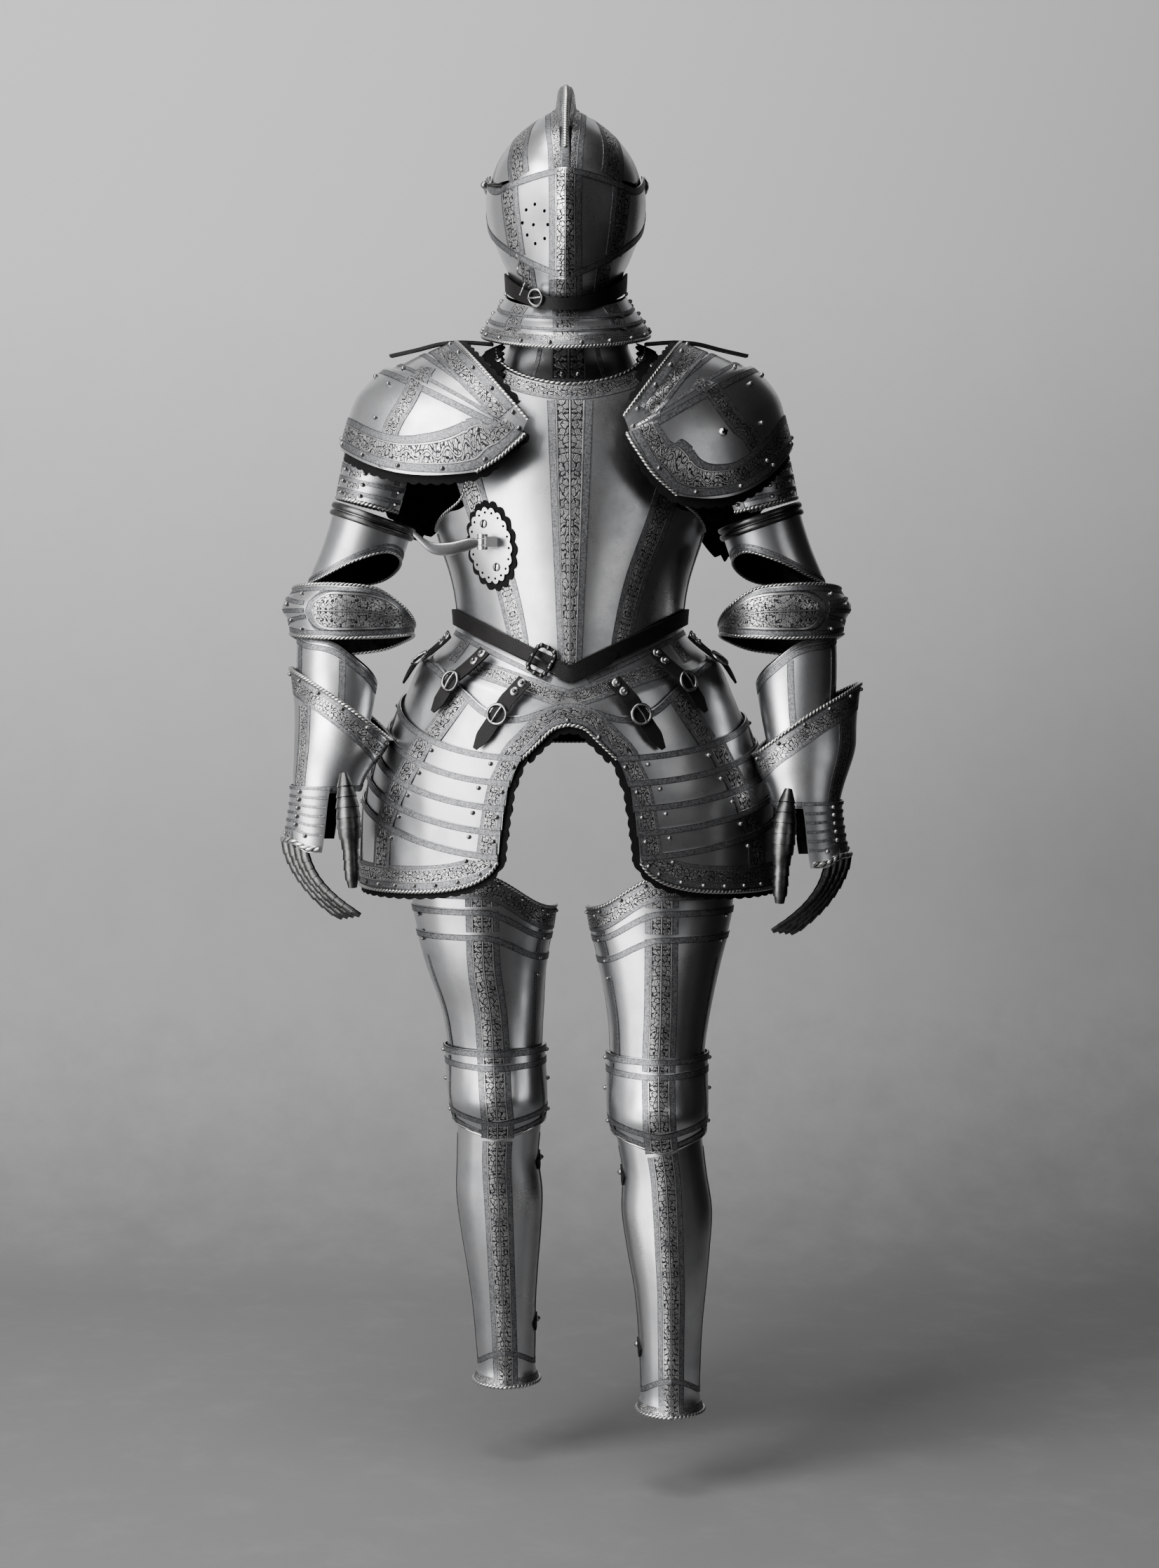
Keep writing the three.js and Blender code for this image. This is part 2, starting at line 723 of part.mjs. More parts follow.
// Fingers and thumb: open-backed scales over a bent line, joined by the knuckle ridge.
function fingerGeometry({ from, to, bow, wide, tip, open, stations = 4, arc = 3, wall = LAME }) {
  const line = new THREE.QuadraticBezierCurve3(from, from.clone().lerp(to, 0.5).add(bow), to);
  const face = (inward) =>
    Array.from({ length: stations + 1 }, (_, k) => {
      const t = k / stations;
      const along = line.getTangent(t);
      const outward = bow.clone().addScaledVector(along, -bow.dot(along)).normalize();
      const across = new THREE.Vector3().crossVectors(along, outward);
      const radius = mix(wide, tip, t) - inward;
      return Array.from({ length: arc + 1 }, (_, i) => {
        const turn = mix(-open, open, i / arc) * DEG;
        return line
          .getPoint(t)
          .addScaledVector(outward, radius * Math.cos(turn))
          .addScaledVector(across, radius * Math.sin(turn));
      });
    });
  return wallGeometry(face(0), face(wall), false);
}

// The ridge over the knuckles, which joins the four fingers.
const KNUCKLE = { radius: 5, long: 84, turn: 8, middle: [-359, -98, -285] };

function fingersGeometry(dir, drop) {
  const at = (x, y, z) => new THREE.Vector3(dir < 0 ? x : 2 * MIDDLE - x, y, z - drop);
  const bow = at(-26, 0, 0).sub(at(0, 0, 0));
  const fingers = [0, 1, 2, 3].map((k) =>
    solidOf(
      fingerGeometry({
        from: at(-343 - 4 * k, -131 + 21 * k, -288 + 2 * k),
        to: at(-270 - 7 * k, -138 + 20 * k, -368 + 3 * k),
        bow: bow.clone().add(new THREE.Vector3(0, 0, -6)),
        wide: 11.5,
        tip: 8,
        open: 100,
      }),
    ),
  );
  const ridge = new THREE.CylinderGeometry(KNUCKLE.radius, KNUCKLE.radius, KNUCKLE.long, 7);
  ridge.applyMatrix4(new THREE.Matrix4().makeRotationZ(dir * -KNUCKLE.turn * DEG));
  const middle = at(...KNUCKLE.middle);
  ridge.translate(middle.x, middle.y, middle.z);
  return geometryOf(fingers.reduce((sum, finger) => sum.add(finger), solidOf(ridge)));
}

for (const side of SIDES) {
  const { name, dir, hand, flare } = side;
  const own = (form) => (dir < 0 ? form : mirrored(form));
  const span = (a, b) => (dir < 0 ? [a, b] : [-a, -b]); // a right arm's angles on this side
  const edge = (height) => (angle) => height(dir < 0 ? angle : -angle);
  const limb = (form, [a, b], top, bottom, rest) =>
    plate({ form: own(form), left: always(span(a, b)[0]), right: always(span(a, b)[1]), top: edge(top), bottom: edge(bottom), ...rest });
  const ring = { wrap: true };

  const shoulder = pauldronForm(PAULDRON[name], dir);
  add(
    `pauldron_upper_${name}`,
    plate({ form: shoulder, left: always(-80), right: always(87), top: always(0), bottom: always(2.9), cols: 12, steps: [0.36, 0.7], wall: 2.4, rise: 1.6 }),
  );
  add(
    `pauldron_${name}`,
    plate({
      form: shoulder,
      left: (v) => -mix(80, 60, v),
      right: (v) => mix(88, 80, v ** 2),
      top: always(2.8),
      bottom: always(6),
      cols: 14,
      rows: 4,
      lift: () => 5.5,
    }),
  );
  add(
    `pauldron_lames_${name}`,
    limb(armForm, [-190, 40], (a) => 232 - 14 * Math.sin((a + 45) * DEG), (a) => 163 - 13 * Math.sin(a * DEG), {
      cols: 10,
      steps: [0.25, 0.5, 0.75],
      wall: 2.4,
      rise: 1.6,
      lift: () => 0.5,
    }),
  );
  add(`upper_cannon_${name}`, limb(armForm, [-180, 180], cannonTop, cannonFoot, { cols: 16, rows: 2, ...ring, lift: (a, v) => (v === 0 ? 3 : 0) }));
  add(`couter_${name}`, limb(couterForm, [-180, 180], couterTop, couterFoot, { cols: 20, rows: 3, ...ring, wall: LAME }));
  add(`lower_cannon_${name}`, limb(armForm, [-180, 180], forearmTop, always(-176), { cols: 14, rows: 2, ...ring }));
  const cuff = gauntletForm(flare, hand);
  const dropped = (height) => (angle) => height(angle) - hand;
  add(`gauntlet_cuff_${name}`, limb(cuff, [-180, 180], dropped(cuffTop), dropped(always(-208)), { cols: 16, rows: 3, ...ring, wall: LAME }));
  add(
    `gauntlet_hand_${name}`,
    limb(cuff, [-195, 8], dropped(always(-200)), dropped((a) => -273 - 10 * smooth((a + 50) / 40)), {
      cols: 8,
      steps: [0.14, 0.28, 0.42, 0.56, 0.7],
      wall: 2.2,
      rise: 1.2,
      lift: () => 3.4,
    }),
  );
  add(`gauntlet_fingers_${name}`, fingersGeometry(dir, hand));
  const at = (x, y, z) => new THREE.Vector3(dir < 0 ? x : 2 * MIDDLE - x, y, z - hand);
  add(
    `gauntlet_thumb_${name}`,
    fingerGeometry({ from: at(-284, -146, -200), to: at(-271, -156, -350), bow: at(4, -14, 0).sub(at(0, 0, 0)), wide: 13, tip: 9.5, open: 105, stations: 6 }),
  );
}

// ---- legs ----
const LEG_COLUMNS = ["z", "x", "y", "left", "front", "back", "keel"];
const LEGS = {
  r: sections(LEG_COLUMNS, [
    [-300, -114, 0, 100, 88, 84, 2],
    [-375, -112, 2, 93, 84, 80, 3],
    [-440, -110, 6, 80, 78, 74, 4],
    [-500, -102, 10, 68, 70, 66, 4],
    [-545, -99, 14, 63, 66, 60, 4],
    [-600, -96, 18, 60, 64, 58, 4],
    [-650, -93, 22, 56, 58, 56, 4],
    [-700, -95, 26, 54, 54, 62, 4],
    [-750, -93, 30, 57, 52, 68, 4],
    [-800, -91, 33, 53, 50, 62, 4],
    [-850, -89, 36, 47, 47, 52, 4],
    [-900, -87, 39, 42, 44, 45, 4],
    [-950, -85, 42, 39.5, 43, 42, 4],
    [-985, -84, 44, 38.5, 42, 41, 3],
    [-1003, -84, 45, 44, 47, 46, 2],
  ]),
  l: sections(LEG_COLUMNS, [
    [-300, 121, -12, 100, 88, 84, 2],
    [-375, 120, -20, 94, 84, 80, 3],
    [-440, 119, -32, 79, 78, 74, 4],
    [-500, 118, -44, 67, 70, 66, 4],
    [-545, 116, -52, 62, 66, 60, 4],
    [-600, 115, -62, 60, 64, 58, 4],
    [-650, 117, -70, 56, 58, 56, 4],
    [-700, 124, -76, 54, 54, 62, 4],
    [-750, 127, -80, 58, 52, 68, 4],
    [-800, 129, -84, 53, 50, 62, 4],
    [-850, 131, -88, 46, 47, 52, 4],
    [-900, 131, -91, 41, 44, 45, 4],
    [-950, 131, -94, 38.5, 43, 42, 4],
    [-985, 131, -96, 38, 42, 41, 3],
    [-1003, 131, -97, 43, 47, 46, 2],
  ]),
};
const KNEE = { z: -622, bulge: 16, tall: 34, wide: 62 };
for (const { name, dir } of SIDES) {
  const form = ringForm(LEGS[name], 30);
  const inward = (angle) => -dir * Math.sin(angle * DEG); // 1 on the inner side of the leg
  const spans = (outer, inner) => ({ left: always(dir * outer), right: always(-dir * inner) });
  add(
    `cuisse_${name}`,
    plate({
      form,
      ...spans(112, 96),
      top: (angle) => -318 - 46 * smooth(inward(angle)),
      bottom: always(-556),
      cols: 12,
      rows: 2,
      steps: [0.18, 0.32],
      wall: 2.4,
      rise: 1.4,
    }),
  );
  add(
    `poleyn_${name}`,
    plate({
      form,
      ...spans(104, 98),
      top: () => -549,
      bottom: (angle) => -668 + 20 * Math.abs(Math.sin(angle * DEG)) ** 1.2,
      cols: 12,
      rows: 2,
      steps: [0.16, 0.78],
      wall: LAME,
      lift: (angle, v) => {
        const z = mix(-549, -660, v);
        const near = Math.exp(-(((z - KNEE.z) / KNEE.tall) ** 2));
        return 4.2 + near * KNEE.bulge * Math.exp(-((angle / KNEE.wide) ** 2));
      },
    }),
  );
  add(
    `greave_${name}`,
    plate({
      form,
      left: always(0),
      right: always(360),
      top: (angle) => -640 + 14 * Math.cos(angle * DEG) - 20 * Math.max(0, -Math.cos(angle * DEG)),
      bottom: always(-1003),
      cols: 14,
      rows: 7,
      wrap: true,
    }),
  );
}

export default armour;
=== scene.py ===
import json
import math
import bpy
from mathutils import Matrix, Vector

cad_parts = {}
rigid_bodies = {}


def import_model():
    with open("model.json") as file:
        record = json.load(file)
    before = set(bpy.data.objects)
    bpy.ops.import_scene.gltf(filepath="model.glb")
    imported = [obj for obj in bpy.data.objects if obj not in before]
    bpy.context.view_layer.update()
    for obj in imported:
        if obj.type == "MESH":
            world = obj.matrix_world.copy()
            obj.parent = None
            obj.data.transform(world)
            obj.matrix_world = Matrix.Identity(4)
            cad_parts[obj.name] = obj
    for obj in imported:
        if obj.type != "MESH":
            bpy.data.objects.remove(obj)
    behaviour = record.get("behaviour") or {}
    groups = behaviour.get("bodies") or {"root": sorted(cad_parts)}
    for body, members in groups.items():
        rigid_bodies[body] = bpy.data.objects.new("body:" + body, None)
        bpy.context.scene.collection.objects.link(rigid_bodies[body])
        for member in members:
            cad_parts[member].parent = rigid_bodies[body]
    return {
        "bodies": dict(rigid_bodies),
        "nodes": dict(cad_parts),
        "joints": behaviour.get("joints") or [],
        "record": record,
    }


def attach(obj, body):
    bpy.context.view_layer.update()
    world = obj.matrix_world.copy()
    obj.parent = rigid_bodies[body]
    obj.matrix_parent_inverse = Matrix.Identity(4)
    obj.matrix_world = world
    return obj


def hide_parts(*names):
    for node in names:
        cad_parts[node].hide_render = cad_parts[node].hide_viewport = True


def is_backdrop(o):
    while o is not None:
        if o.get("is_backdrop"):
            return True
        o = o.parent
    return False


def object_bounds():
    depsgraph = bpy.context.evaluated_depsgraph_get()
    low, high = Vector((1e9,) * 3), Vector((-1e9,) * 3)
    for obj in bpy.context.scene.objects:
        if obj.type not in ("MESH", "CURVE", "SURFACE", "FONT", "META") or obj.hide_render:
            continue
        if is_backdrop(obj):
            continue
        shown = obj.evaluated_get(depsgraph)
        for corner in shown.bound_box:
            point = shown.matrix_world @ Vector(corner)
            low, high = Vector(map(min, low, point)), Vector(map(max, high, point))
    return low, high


bl_info = {
    "name": "Suit of Plate Armour",
    "version": (1, 0, 0),
    "blender": (4, 5, 0),
    "location": "3D View > Sidebar > Armour",
    "description": "Dresses the plates of a field armour with etched bands, roped edges, studs and straps",
    "category": "Add Mesh",
}

import bpy
from mathutils import Matrix, Vector

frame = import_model()
CAD_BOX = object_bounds()

# Sizes below are millimetres, and MM turns them into scene units.
# +Z is up, the wearer faces -Y, and the wearer's left is +X. Angles are degrees: 0 is the front, 90 is +X.
MM = 0.001
DEG = math.pi / 180
MIDDLE = -3  # X of the plane between the two arms
PLATE, LAME = "plate_wall", "lame_wall"  # changeable sizes: the walls of large and of sliding plates
DIR = {"r": -1, "l": 1}  # which way along X each side lies
SUIT, VISOR, REST = "suit", "visor", "lance_rest"
UV_MAP = "band"
WELD = 0.01  # corners closer than this become one
LAP_LIFT = 1.6  # how much further out the top of a lame lies than its foot
CREASE = 38  # edges bent by more degrees than this stay sharp


# ---- numbers


def mix(a, b, t):
    return a + (b - a) * t


def clamp01(t):
    return min(1.0, max(0.0, t))


def smooth(t):
    t = clamp01(t)
    return t * t * (3 - 2 * t)


def always(value):
    return lambda *_: value


ALL_ROUND = always(0), always(360)


def sin(angle):
    return math.sin(angle * DEG)


def cos(angle):
    return math.cos(angle * DEG)


def turned(angle):
    """How far an angle is from the front, from 0 to 180."""
    return abs((angle + 540) % 360 - 180)


def curve(pairs):
    """A smooth curve through (x, y) pairs, held flat past both ends."""
    p = sorted(pairs)
    slope = []
    for i in range(len(p)):
        before, after = p[max(0, i - 1)], p[min(len(p) - 1, i + 1)]
        slope.append((after[1] - before[1]) / (after[0] - before[0]))

    def read(x):
        if x <= p[0][0]:
            return p[0][1]
        if x >= p[-1][0]:
            return p[-1][1]
        i = next(k for k in range(len(p)) if p[k][0] > x) - 1
        span = p[i + 1][0] - p[i][0]
        t = (x - p[i][0]) / span
        bend = slope[i] * t * (1 - t) ** 2 - slope[i + 1] * t * t * (1 - t)
        return mix(p[i][1], p[i + 1][1], t * t * (3 - 2 * t)) + span * bend

    return read


def in_mm(value):
    """A size in millimetres: a number as it is, or one of the suit's changeable sizes by its name."""
    if isinstance(value, str):
        return round(getattr(bpy.context.scene.armour_sizes, value) / MM, 3)
    return value


def sections(columns, rows):
    """Reads a table with named columns at any value of its first column."""
    read = {name: curve([(row[0], row[i + 1]) for row in rows]) for i, name in enumerate(columns[1:])}
    return lambda z: {name: column(z) for name, column in read.items()}


# ---- forms that the plates lie on


def ring_form(at, keel_width=20):
    """A limb or body as rings: (angle, height, offset outwards) to a point."""

    def form(angle, z, out=0):
        s = at(z)
        side = s.get("right", s["left"]) if sin(angle) < 0 else s["left"]
        depth = s["front"] if cos(angle) > 0 else s.get("back", s["front"])
        keel = s.get("keel", 0) * max(0, 1 - turned(angle) / keel_width)
        return Vector((
            s["x"] + sin(angle) * (side + out),
            s["y"] - cos(angle) * (depth + out) - keel,
            z,
        ))

    return form


def rings(x, y, columns, rows, keel_width=20):
    """A ring form about one upright axis at (x, y)."""
    read = sections(columns, rows)
    return ring_form(lambda z: {"x": x, "y": y, **read(z)}, keel_width)


def mirrored(form):
    """The left limb's form from the right limb's."""

    def other(angle, z, out=0):
        p = form(-angle, z, out)
        return Vector((2 * MIDDLE - p.x, p.y, p.z))

    return other


HEAD_X = -4
DOME_Z = 573
DOME_RISE = 118

helmet_at = sections(
    ["z", "left", "front", "back"],
    [
        [446, 65, 98, 84],
        [470, 68, 106, 90],
        [490, 74, 110, 99],
        [510, 84, 114, 108],
        [545, 98.5, 121, 121],
        [DOME_Z, 101, 124, 126],
    ],
)


def helmet_ring(z):
    s = helmet_at(z)
    t = clamp01((z - DOME_Z) / (DOME_RISE + 0.5))
    rounded = math.sqrt(1 - t * t)
    pointed = (1 - t**2.2) ** 0.8
    return {
        "x": HEAD_X,
        "y": 6,
        "left": s["left"] * pointed,
        "front": s["front"] * rounded,
        "back": s["back"] * rounded,
    }


helmet_form = ring_form(helmet_ring)
visor_at = sections(
    ["z", "left", "front", "keel", "flat"],
    [
        [450, 83, 122, 12, 3],
        [480, 91, 130, 16, 5],
        [520, 101, 137, 19, 9],
        [560, 106, 137, 15, 9],
        [590, 104.5, 132, 8, 6],
        [618, 101.5, 124, 0, 3],
    ],
)


def visor_form(angle, z, out=0):
    """The visor: a prow with one flat facet on each side of its keel."""
    s = visor_at(z)
    pressed = s["flat"] * math.sin(math.pi * clamp01(turned(angle) / 46)) ** 1.2
    return ring_form(lambda _: {"x": HEAD_X, "y": 6, **s}, 55)(angle, z, out) + Vector((0, pressed, 0))


bevor_form = rings(
    HEAD_X,
    6,
    ["z", "left", "front", "keel"],
    [
        [424, 70, 92, 3],
        [445, 71, 100, 5],
        [470, 75.5, 113, 9],
        [490, 84.5, 123, 12],
        [522, 97.5, 131, 13],
    ],
    55,
)
collar_form = rings(
    HEAD_X,
    4,
    ["z", "left", "front", "back"],
    [
        [355, 121, 142, 124],
        [375, 119, 132, 123],
        [390, 116, 120, 120],
        [403, 111, 107, 116],
        [416, 101, 97, 107],
        [430, 88, 93, 96],
        [450, 76, 90, 88],
    ],
)
neck_strap_form = rings(
    HEAD_X,
    5,
    ["z", "left", "front", "back"],
    [[410, 80, 106, 95], [430, 80, 110, 95], [472, 82, 122, 98]],
)
gorget_form = rings(
    0,
    2,
    ["z", "left", "front", "back"],
    [[318, 112, 84, 90], [350, 90, 66, 72], [400, 70, 66, 66]],
)

torso_at = sections(
    ["z", "left", "front", "back", "keel"],
    [
        [-80, 150, 146, 108, 12],
        [0, 149, 142, 106, 12],
        [60, 156, 138, 112, 10],
        [140, 180, 132, 126, 7],
        [220, 190, 124, 134, 5],
        [290, 176, 110, 126, 3],
        [330, 146, 94, 108, 2],
        [378, 104, 62, 78, 0],
    ],
)
torso_form = ring_form(lambda z: {"x": 2, "y": 0, **torso_at(z)}, 50)
skirt_at = sections(
    ["z", "left", "front", "back"],
    [
        [-345, 265, 166, 160],
        [-220, 258, 166, 168],
        [-150, 237, 164, 168],
        [-85, 210, 161, 160],
        [-50, 195, 158, 148],
        [-20, 176, 154, 130],
        [10, 150, 150, 108],
    ],
)


def waist(angle):
    """Height of the waist line, which dips to a point in front."""
    return mix(-66, 6, abs(sin(angle)) if cos(angle) > 0 else 1)


def skirt_form(angle, z, out=0):
    blend = clamp01((waist(angle) - z) / 45) ** 0.8
    torso, skirt = torso_at(z), skirt_at(z)
    ring = {name: mix(torso[name], skirt[name], blend) for name in ("left", "front", "back")}
    return ring_form(lambda _: {"x": 1, "y": 0, "keel": mix(12, 4, blend), **ring}, 50)(angle, z, out)


def tipped(level, tip):
    """An edge that is level behind and dips by `tip` at the front."""
    return lambda angle: level - tip * max(0, cos(angle)) ** 1.2


arm_form = ring_form(
    sections(
        ["z", "x", "y", "left", "front", "back"],
        [
            [270, -232, 5, 56, 58, 58],
            [200, -247, 6, 56, 57, 57],
            [160, -257, 8, 54, 56, 55],
            [110, -272, 11, 56, 54, 54],
            [64, -290, 14, 57, 53, 53],
            [28, -301, 8, 56, 52, 52],
            [-10, -306, -3, 54, 51, 51],
            [-65, -305, -30, 53, 49, 49],
            [-116, -305, -56, 47, 44, 44],
            [-170, -309, -78, 41, 37, 37],
            [-215, -313, -92, 37, 32, 32],
        ],
    )
)
couter_form = ring_form(
    sections(
        ["z", "x", "y", "left", "right", "front", "back"],
        [
            [64, -293, 11, 84, 70, 70, 68],
            [50, -293, 11, 86, 76, 78, 72],
            [32, -293, 11, 88, 88, 82, 74],
            [12, -293, 11, 88, 80, 80, 74],
            [-10, -293, 11, 86, 76, 78, 70],
            [-34, -293, 11, 84, 70, 68, 66],
        ],
    )
)
gauntlet_at = sections(
    ["z", "x", "y", "left", "right", "front", "back"],
    [
        [-45, -285, -22, 84, 82, 70, 66],
        [-100, -288, -49, 70, 71, 62, 58],
        [-150, -295, -70, 60, 62, 52, 50],
        [-190, -308, -84, 46, 49, 43, 45],
        [-215, -313, -92, 43, 43, 40, 42],
        [-260, -317, -96, 42, 45, 45, 50],
        [-292, -321, -98, 40, 46, 48, 52],
    ],
)


def gauntlet_form(flare, drop):
    """Cuff, wrist and back of the hand; flare swings the cuff's mouth out, drop lowers the whole."""

    def at(z):
        s = gauntlet_at(z + drop)
        swung = flare * smooth((z + drop + 210) / 90)
        return {**s, "x": s["x"] - swung, "right": s["right"] + swung * 0.3}

    return ring_form(at)


BACK_WING_DROP = 70
PAULDRON_COLUMNS = ["row", "out_x", "out_z", "tip_x", "tip_z", "sag", "deep"]
PAULDRON = {
    "r": [
        [0, -150, 381, -46, 262, 0, 158],
        [1, -188, 366, -47, 256, 0, 160],
        [2, -220, 352, -48, 250, 0, 162],
        [3, -243, 340, -49, 244, 0, 164],
        [4, -276, 306, -54, 234, 6, 166],
        [5, -291, 265, -64, 220, 22, 164],
        [6, -298, 236, -80, 206, 27, 158],
    ],
    "l": [
        [0, -148, 380, -66, 266, 0, 158],
        [1, -186, 366, -67, 259, 0, 160],
        [2, -218, 354, -68, 252, 0, 162],
        [3, -243, 342, -69, 245, 0, 164],
        [4, -272, 308, -76, 226, 14, 166],
        [5, -285, 266, -88, 200, 34, 164],
        [6, -292, 238, -106, 178, 44, 156],
    ],
}


def pauldron_form(name):
    """(turn from the back wing over the shoulder to the chest wing, row from neck to arm) to a point."""
    at = sections(PAULDRON_COLUMNS, PAULDRON[name])

    def form(turn, row, out=0):
        s = at(row)
        x = mix(s["out_x"], s["tip_x"], 1 - cos(turn)) - out * cos(turn) * 0.8
        z = mix(s["out_z"], s["tip_z"], 1 - cos(turn)) + out * cos(turn) * 0.6
        z -= s["sag"] * sin(turn) ** 2 * cos(turn) * 2.4
        z -= BACK_WING_DROP * smooth((-turn - 12) / 50) * smooth((row - 3) / 3)
        y = 4 - math.copysign((s["deep"] + out) * abs(sin(turn)) ** 0.9, turn)
        return Vector((x if name == "r" else -x, y, z))

    return form


LEG_COLUMNS = ["z", "x", "y", "left", "front", "back", "keel"]
LEGS = {
    "r": [
        [-300, -114, 0, 100, 88, 84, 2],
        [-375, -112, 2, 93, 84, 80, 3],
        [-440, -110, 6, 80, 78, 74, 4],
        [-500, -102, 10, 68, 70, 66, 4],
        [-545, -99, 14, 63, 66, 60, 4],
        [-600, -96, 18, 60, 64, 58, 4],
        [-650, -93, 22, 56, 58, 56, 4],
        [-700, -95, 26, 54, 54, 62, 4],
        [-750, -93, 30, 57, 52, 68, 4],
        [-800, -91, 33, 53, 50, 62, 4],
        [-850, -89, 36, 47, 47, 52, 4],
        [-900, -87, 39, 42, 44, 45, 4],
        [-950, -85, 42, 39.5, 43, 42, 4],
        [-985, -84, 44, 38.5, 42, 41, 3],
        [-1003, -84, 45, 44, 47, 46, 2],
    ],
    "l": [
        [-300, 121, -12, 100, 88, 84, 2],
        [-375, 120, -20, 94, 84, 80, 3],
        [-440, 119, -32, 79, 78, 74, 4],
        [-500, 118, -44, 67, 70, 66, 4],
        [-545, 116, -52, 62, 66, 60, 4],
        [-600, 115, -62, 60, 64, 58, 4],
        [-650, 117, -70, 56, 58, 56, 4],
        [-700, 124, -76, 54, 54, 62, 4],
        [-750, 127, -80, 58, 52, 68, 4],
        [-800, 129, -84, 53, 50, 62, 4],
        [-850, 131, -88, 46, 47, 52, 4],
        [-900, 131, -91, 41, 44, 45, 4],
        [-950, 131, -94, 38.5, 43, 42, 4],
        [-985, 131, -96, 38, 42, 41, 3],
        [-1003, 131, -97, 43, 47, 46, 2],
    ],
}
leg_form = {name: ring_form(sections(LEG_COLUMNS, rows), 30) for name, rows in LEGS.items()}


# ---- making meshes


def deselect():
    for obj in bpy.context.selected_objects:
        obj.select_set(False)


def activate(obj):
    deselect()
    obj.select_set(True)
    bpy.context.view_layer.objects.active = obj


def apply_modifier(obj, kind, **settings):
    activate(obj)
    modifier = obj.modifiers.new(kind.title(), kind)
    for key, value in settings.items():
        setattr(modifier, key, value)
    bpy.ops.object.modifier_apply(modifier=modifier.name)


def edit_whole(obj, tool, **settings):
    """Runs one of Blender's mesh tools on all of an object's mesh."""
    activate(obj)
    bpy.ops.object.mode_set(mode="EDIT")
    bpy.ops.mesh.select_all(action="SELECT")
    tool(**settings)
    bpy.ops.object.mode_set(mode="OBJECT")


def merge_doubles(obj):
    edit_whole(obj, bpy.ops.mesh.remove_doubles, threshold=WELD * MM)


def primitive(tool, **settings):
    """Adds one of Blender's primitives, with its UV map named as on every other piece."""
    deselect()
    tool(**settings)
    obj = bpy.context.object
    obj.data.uv_layers.active.name = UV_MAP
    return obj


def clad(obj, *names):
    """Gives an object its finishes, one for each material slot."""
    obj.data.materials.clear()
    for name in names:
        obj.data.materials.append(MATERIALS[name])


def smooth_shading(obj, angle=CREASE):
    activate(obj)
    bpy.ops.object.shade_smooth_by_angle(angle=angle * DEG)


def grid(name, cols, rows, place):
    """A grid whose corner shares (across, down) from 0 to 1 are placed by a function, in millimetres.

    place(across, down, out) also tells which way is out, and the faces are turned that way."""
    obj = primitive(bpy.ops.mesh.primitive_grid_add, x_subdivisions=cols, y_subdivisions=rows, size=2)
    obj.name = name
    obj.data.name = name
    face = obj.data.polygons[len(obj.data.polygons) // 2 + cols // 2]
    here = (face.center.x + 1) / 2, (1 - face.center.y) / 2
    for vertex in obj.data.vertices:
        vertex.co = place((vertex.co.x + 1) / 2, (1 - vertex.co.y) / 2, 0) * MM
    obj.data.update()
    if face.normal.dot(place(*here, 1) - place(*here, 0)) < 0:
        obj.data.flip_normals()
    return obj


def finish(obj, body, replaces=()):
    """Ties a piece to its CAD body and hides the CAD nodes it stands for."""
    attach(obj, body)
    if replaces:
        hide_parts(*replaces)
    return obj


def join(name, pieces):
    """Joins pieces into one object with one mesh, keeping their materials."""
    deselect()
    for piece in pieces:
        piece.select_set(True)
    bpy.context.view_layer.objects.active = pieces[0]
    if len(pieces) > 1:
        bpy.ops.object.join()
    pieces[0].name = name
    pieces[0].data.name = name
    return pieces[0]


def plate(form, left, right, top, bottom, cols, rows, wall=PLATE, lift=always(0), closed=False,
        materials=("steel", "inside")):
    """A plate on a form, with a wall and its own dark inner face: unpolished iron, darkened further as
    painted shade.
    """

    def place(across, down, out):
        angle = mix(left(down), right(down), across)
        z = mix(top(angle), bottom(angle), down)
        return form(angle, z, lift(angle, down) + out)

    obj = grid("plate", cols, rows, place)
    if closed:
        merge_doubles(obj)
    clad(obj, *materials)
    apply_modifier(obj, "SOLIDIFY", thickness=in_mm(wall) * MM, offset=-1, use_even_offset=True,
            material_offset=len(materials) - 1, material_offset_rim=0)
    smooth_shading(obj)
    return obj


def shared_out(top, foot, shares):
    """Pairs of top and foot edges for plates that share out the height between two edges."""
    edges = [lambda angle, share=share: mix(top(angle), foot(angle), share) for share in shares]
    return list(zip(edges, edges[1:]))


def lapped(base=0, lap=LAP_LIFT):
    """Lift of a lame whose top lies further out than its foot."""
    return lambda _, down: base + lap * (1 - down)


# A path is a function from a share 0 to 1 to an (angle, height) pair on a form.


def through(*stations):
    """A smooth path through (angle, height) stations."""
    last = len(stations) - 1
    angle = curve([(i / last, s[0]) for i, s in enumerate(stations)])
    height = curve([(i / last, s[1]) for i, s in enumerate(stations)])
    return lambda t: (angle(t), height(t))


def on_side(side, *stations):
    """A smooth path through stations whose angles are taken to one side: 1 is the left, -1 the right."""
    return through(*((side * angle, height) for angle, height in stations))


def edge_path(edge, start, end, inset=0):
    """A path along an edge curve from one angle to another, moved up by inset."""

    def path(t):
        angle = mix(start, end, t)
        return angle, edge(angle) + inset

    return path


def upright(angle, top, bottom):
    """A path down a form; angle may change with the height."""

    def path(t):
        z = mix(top, bottom, t)
        return (angle(z) if callable(angle) else angle), z

    return path


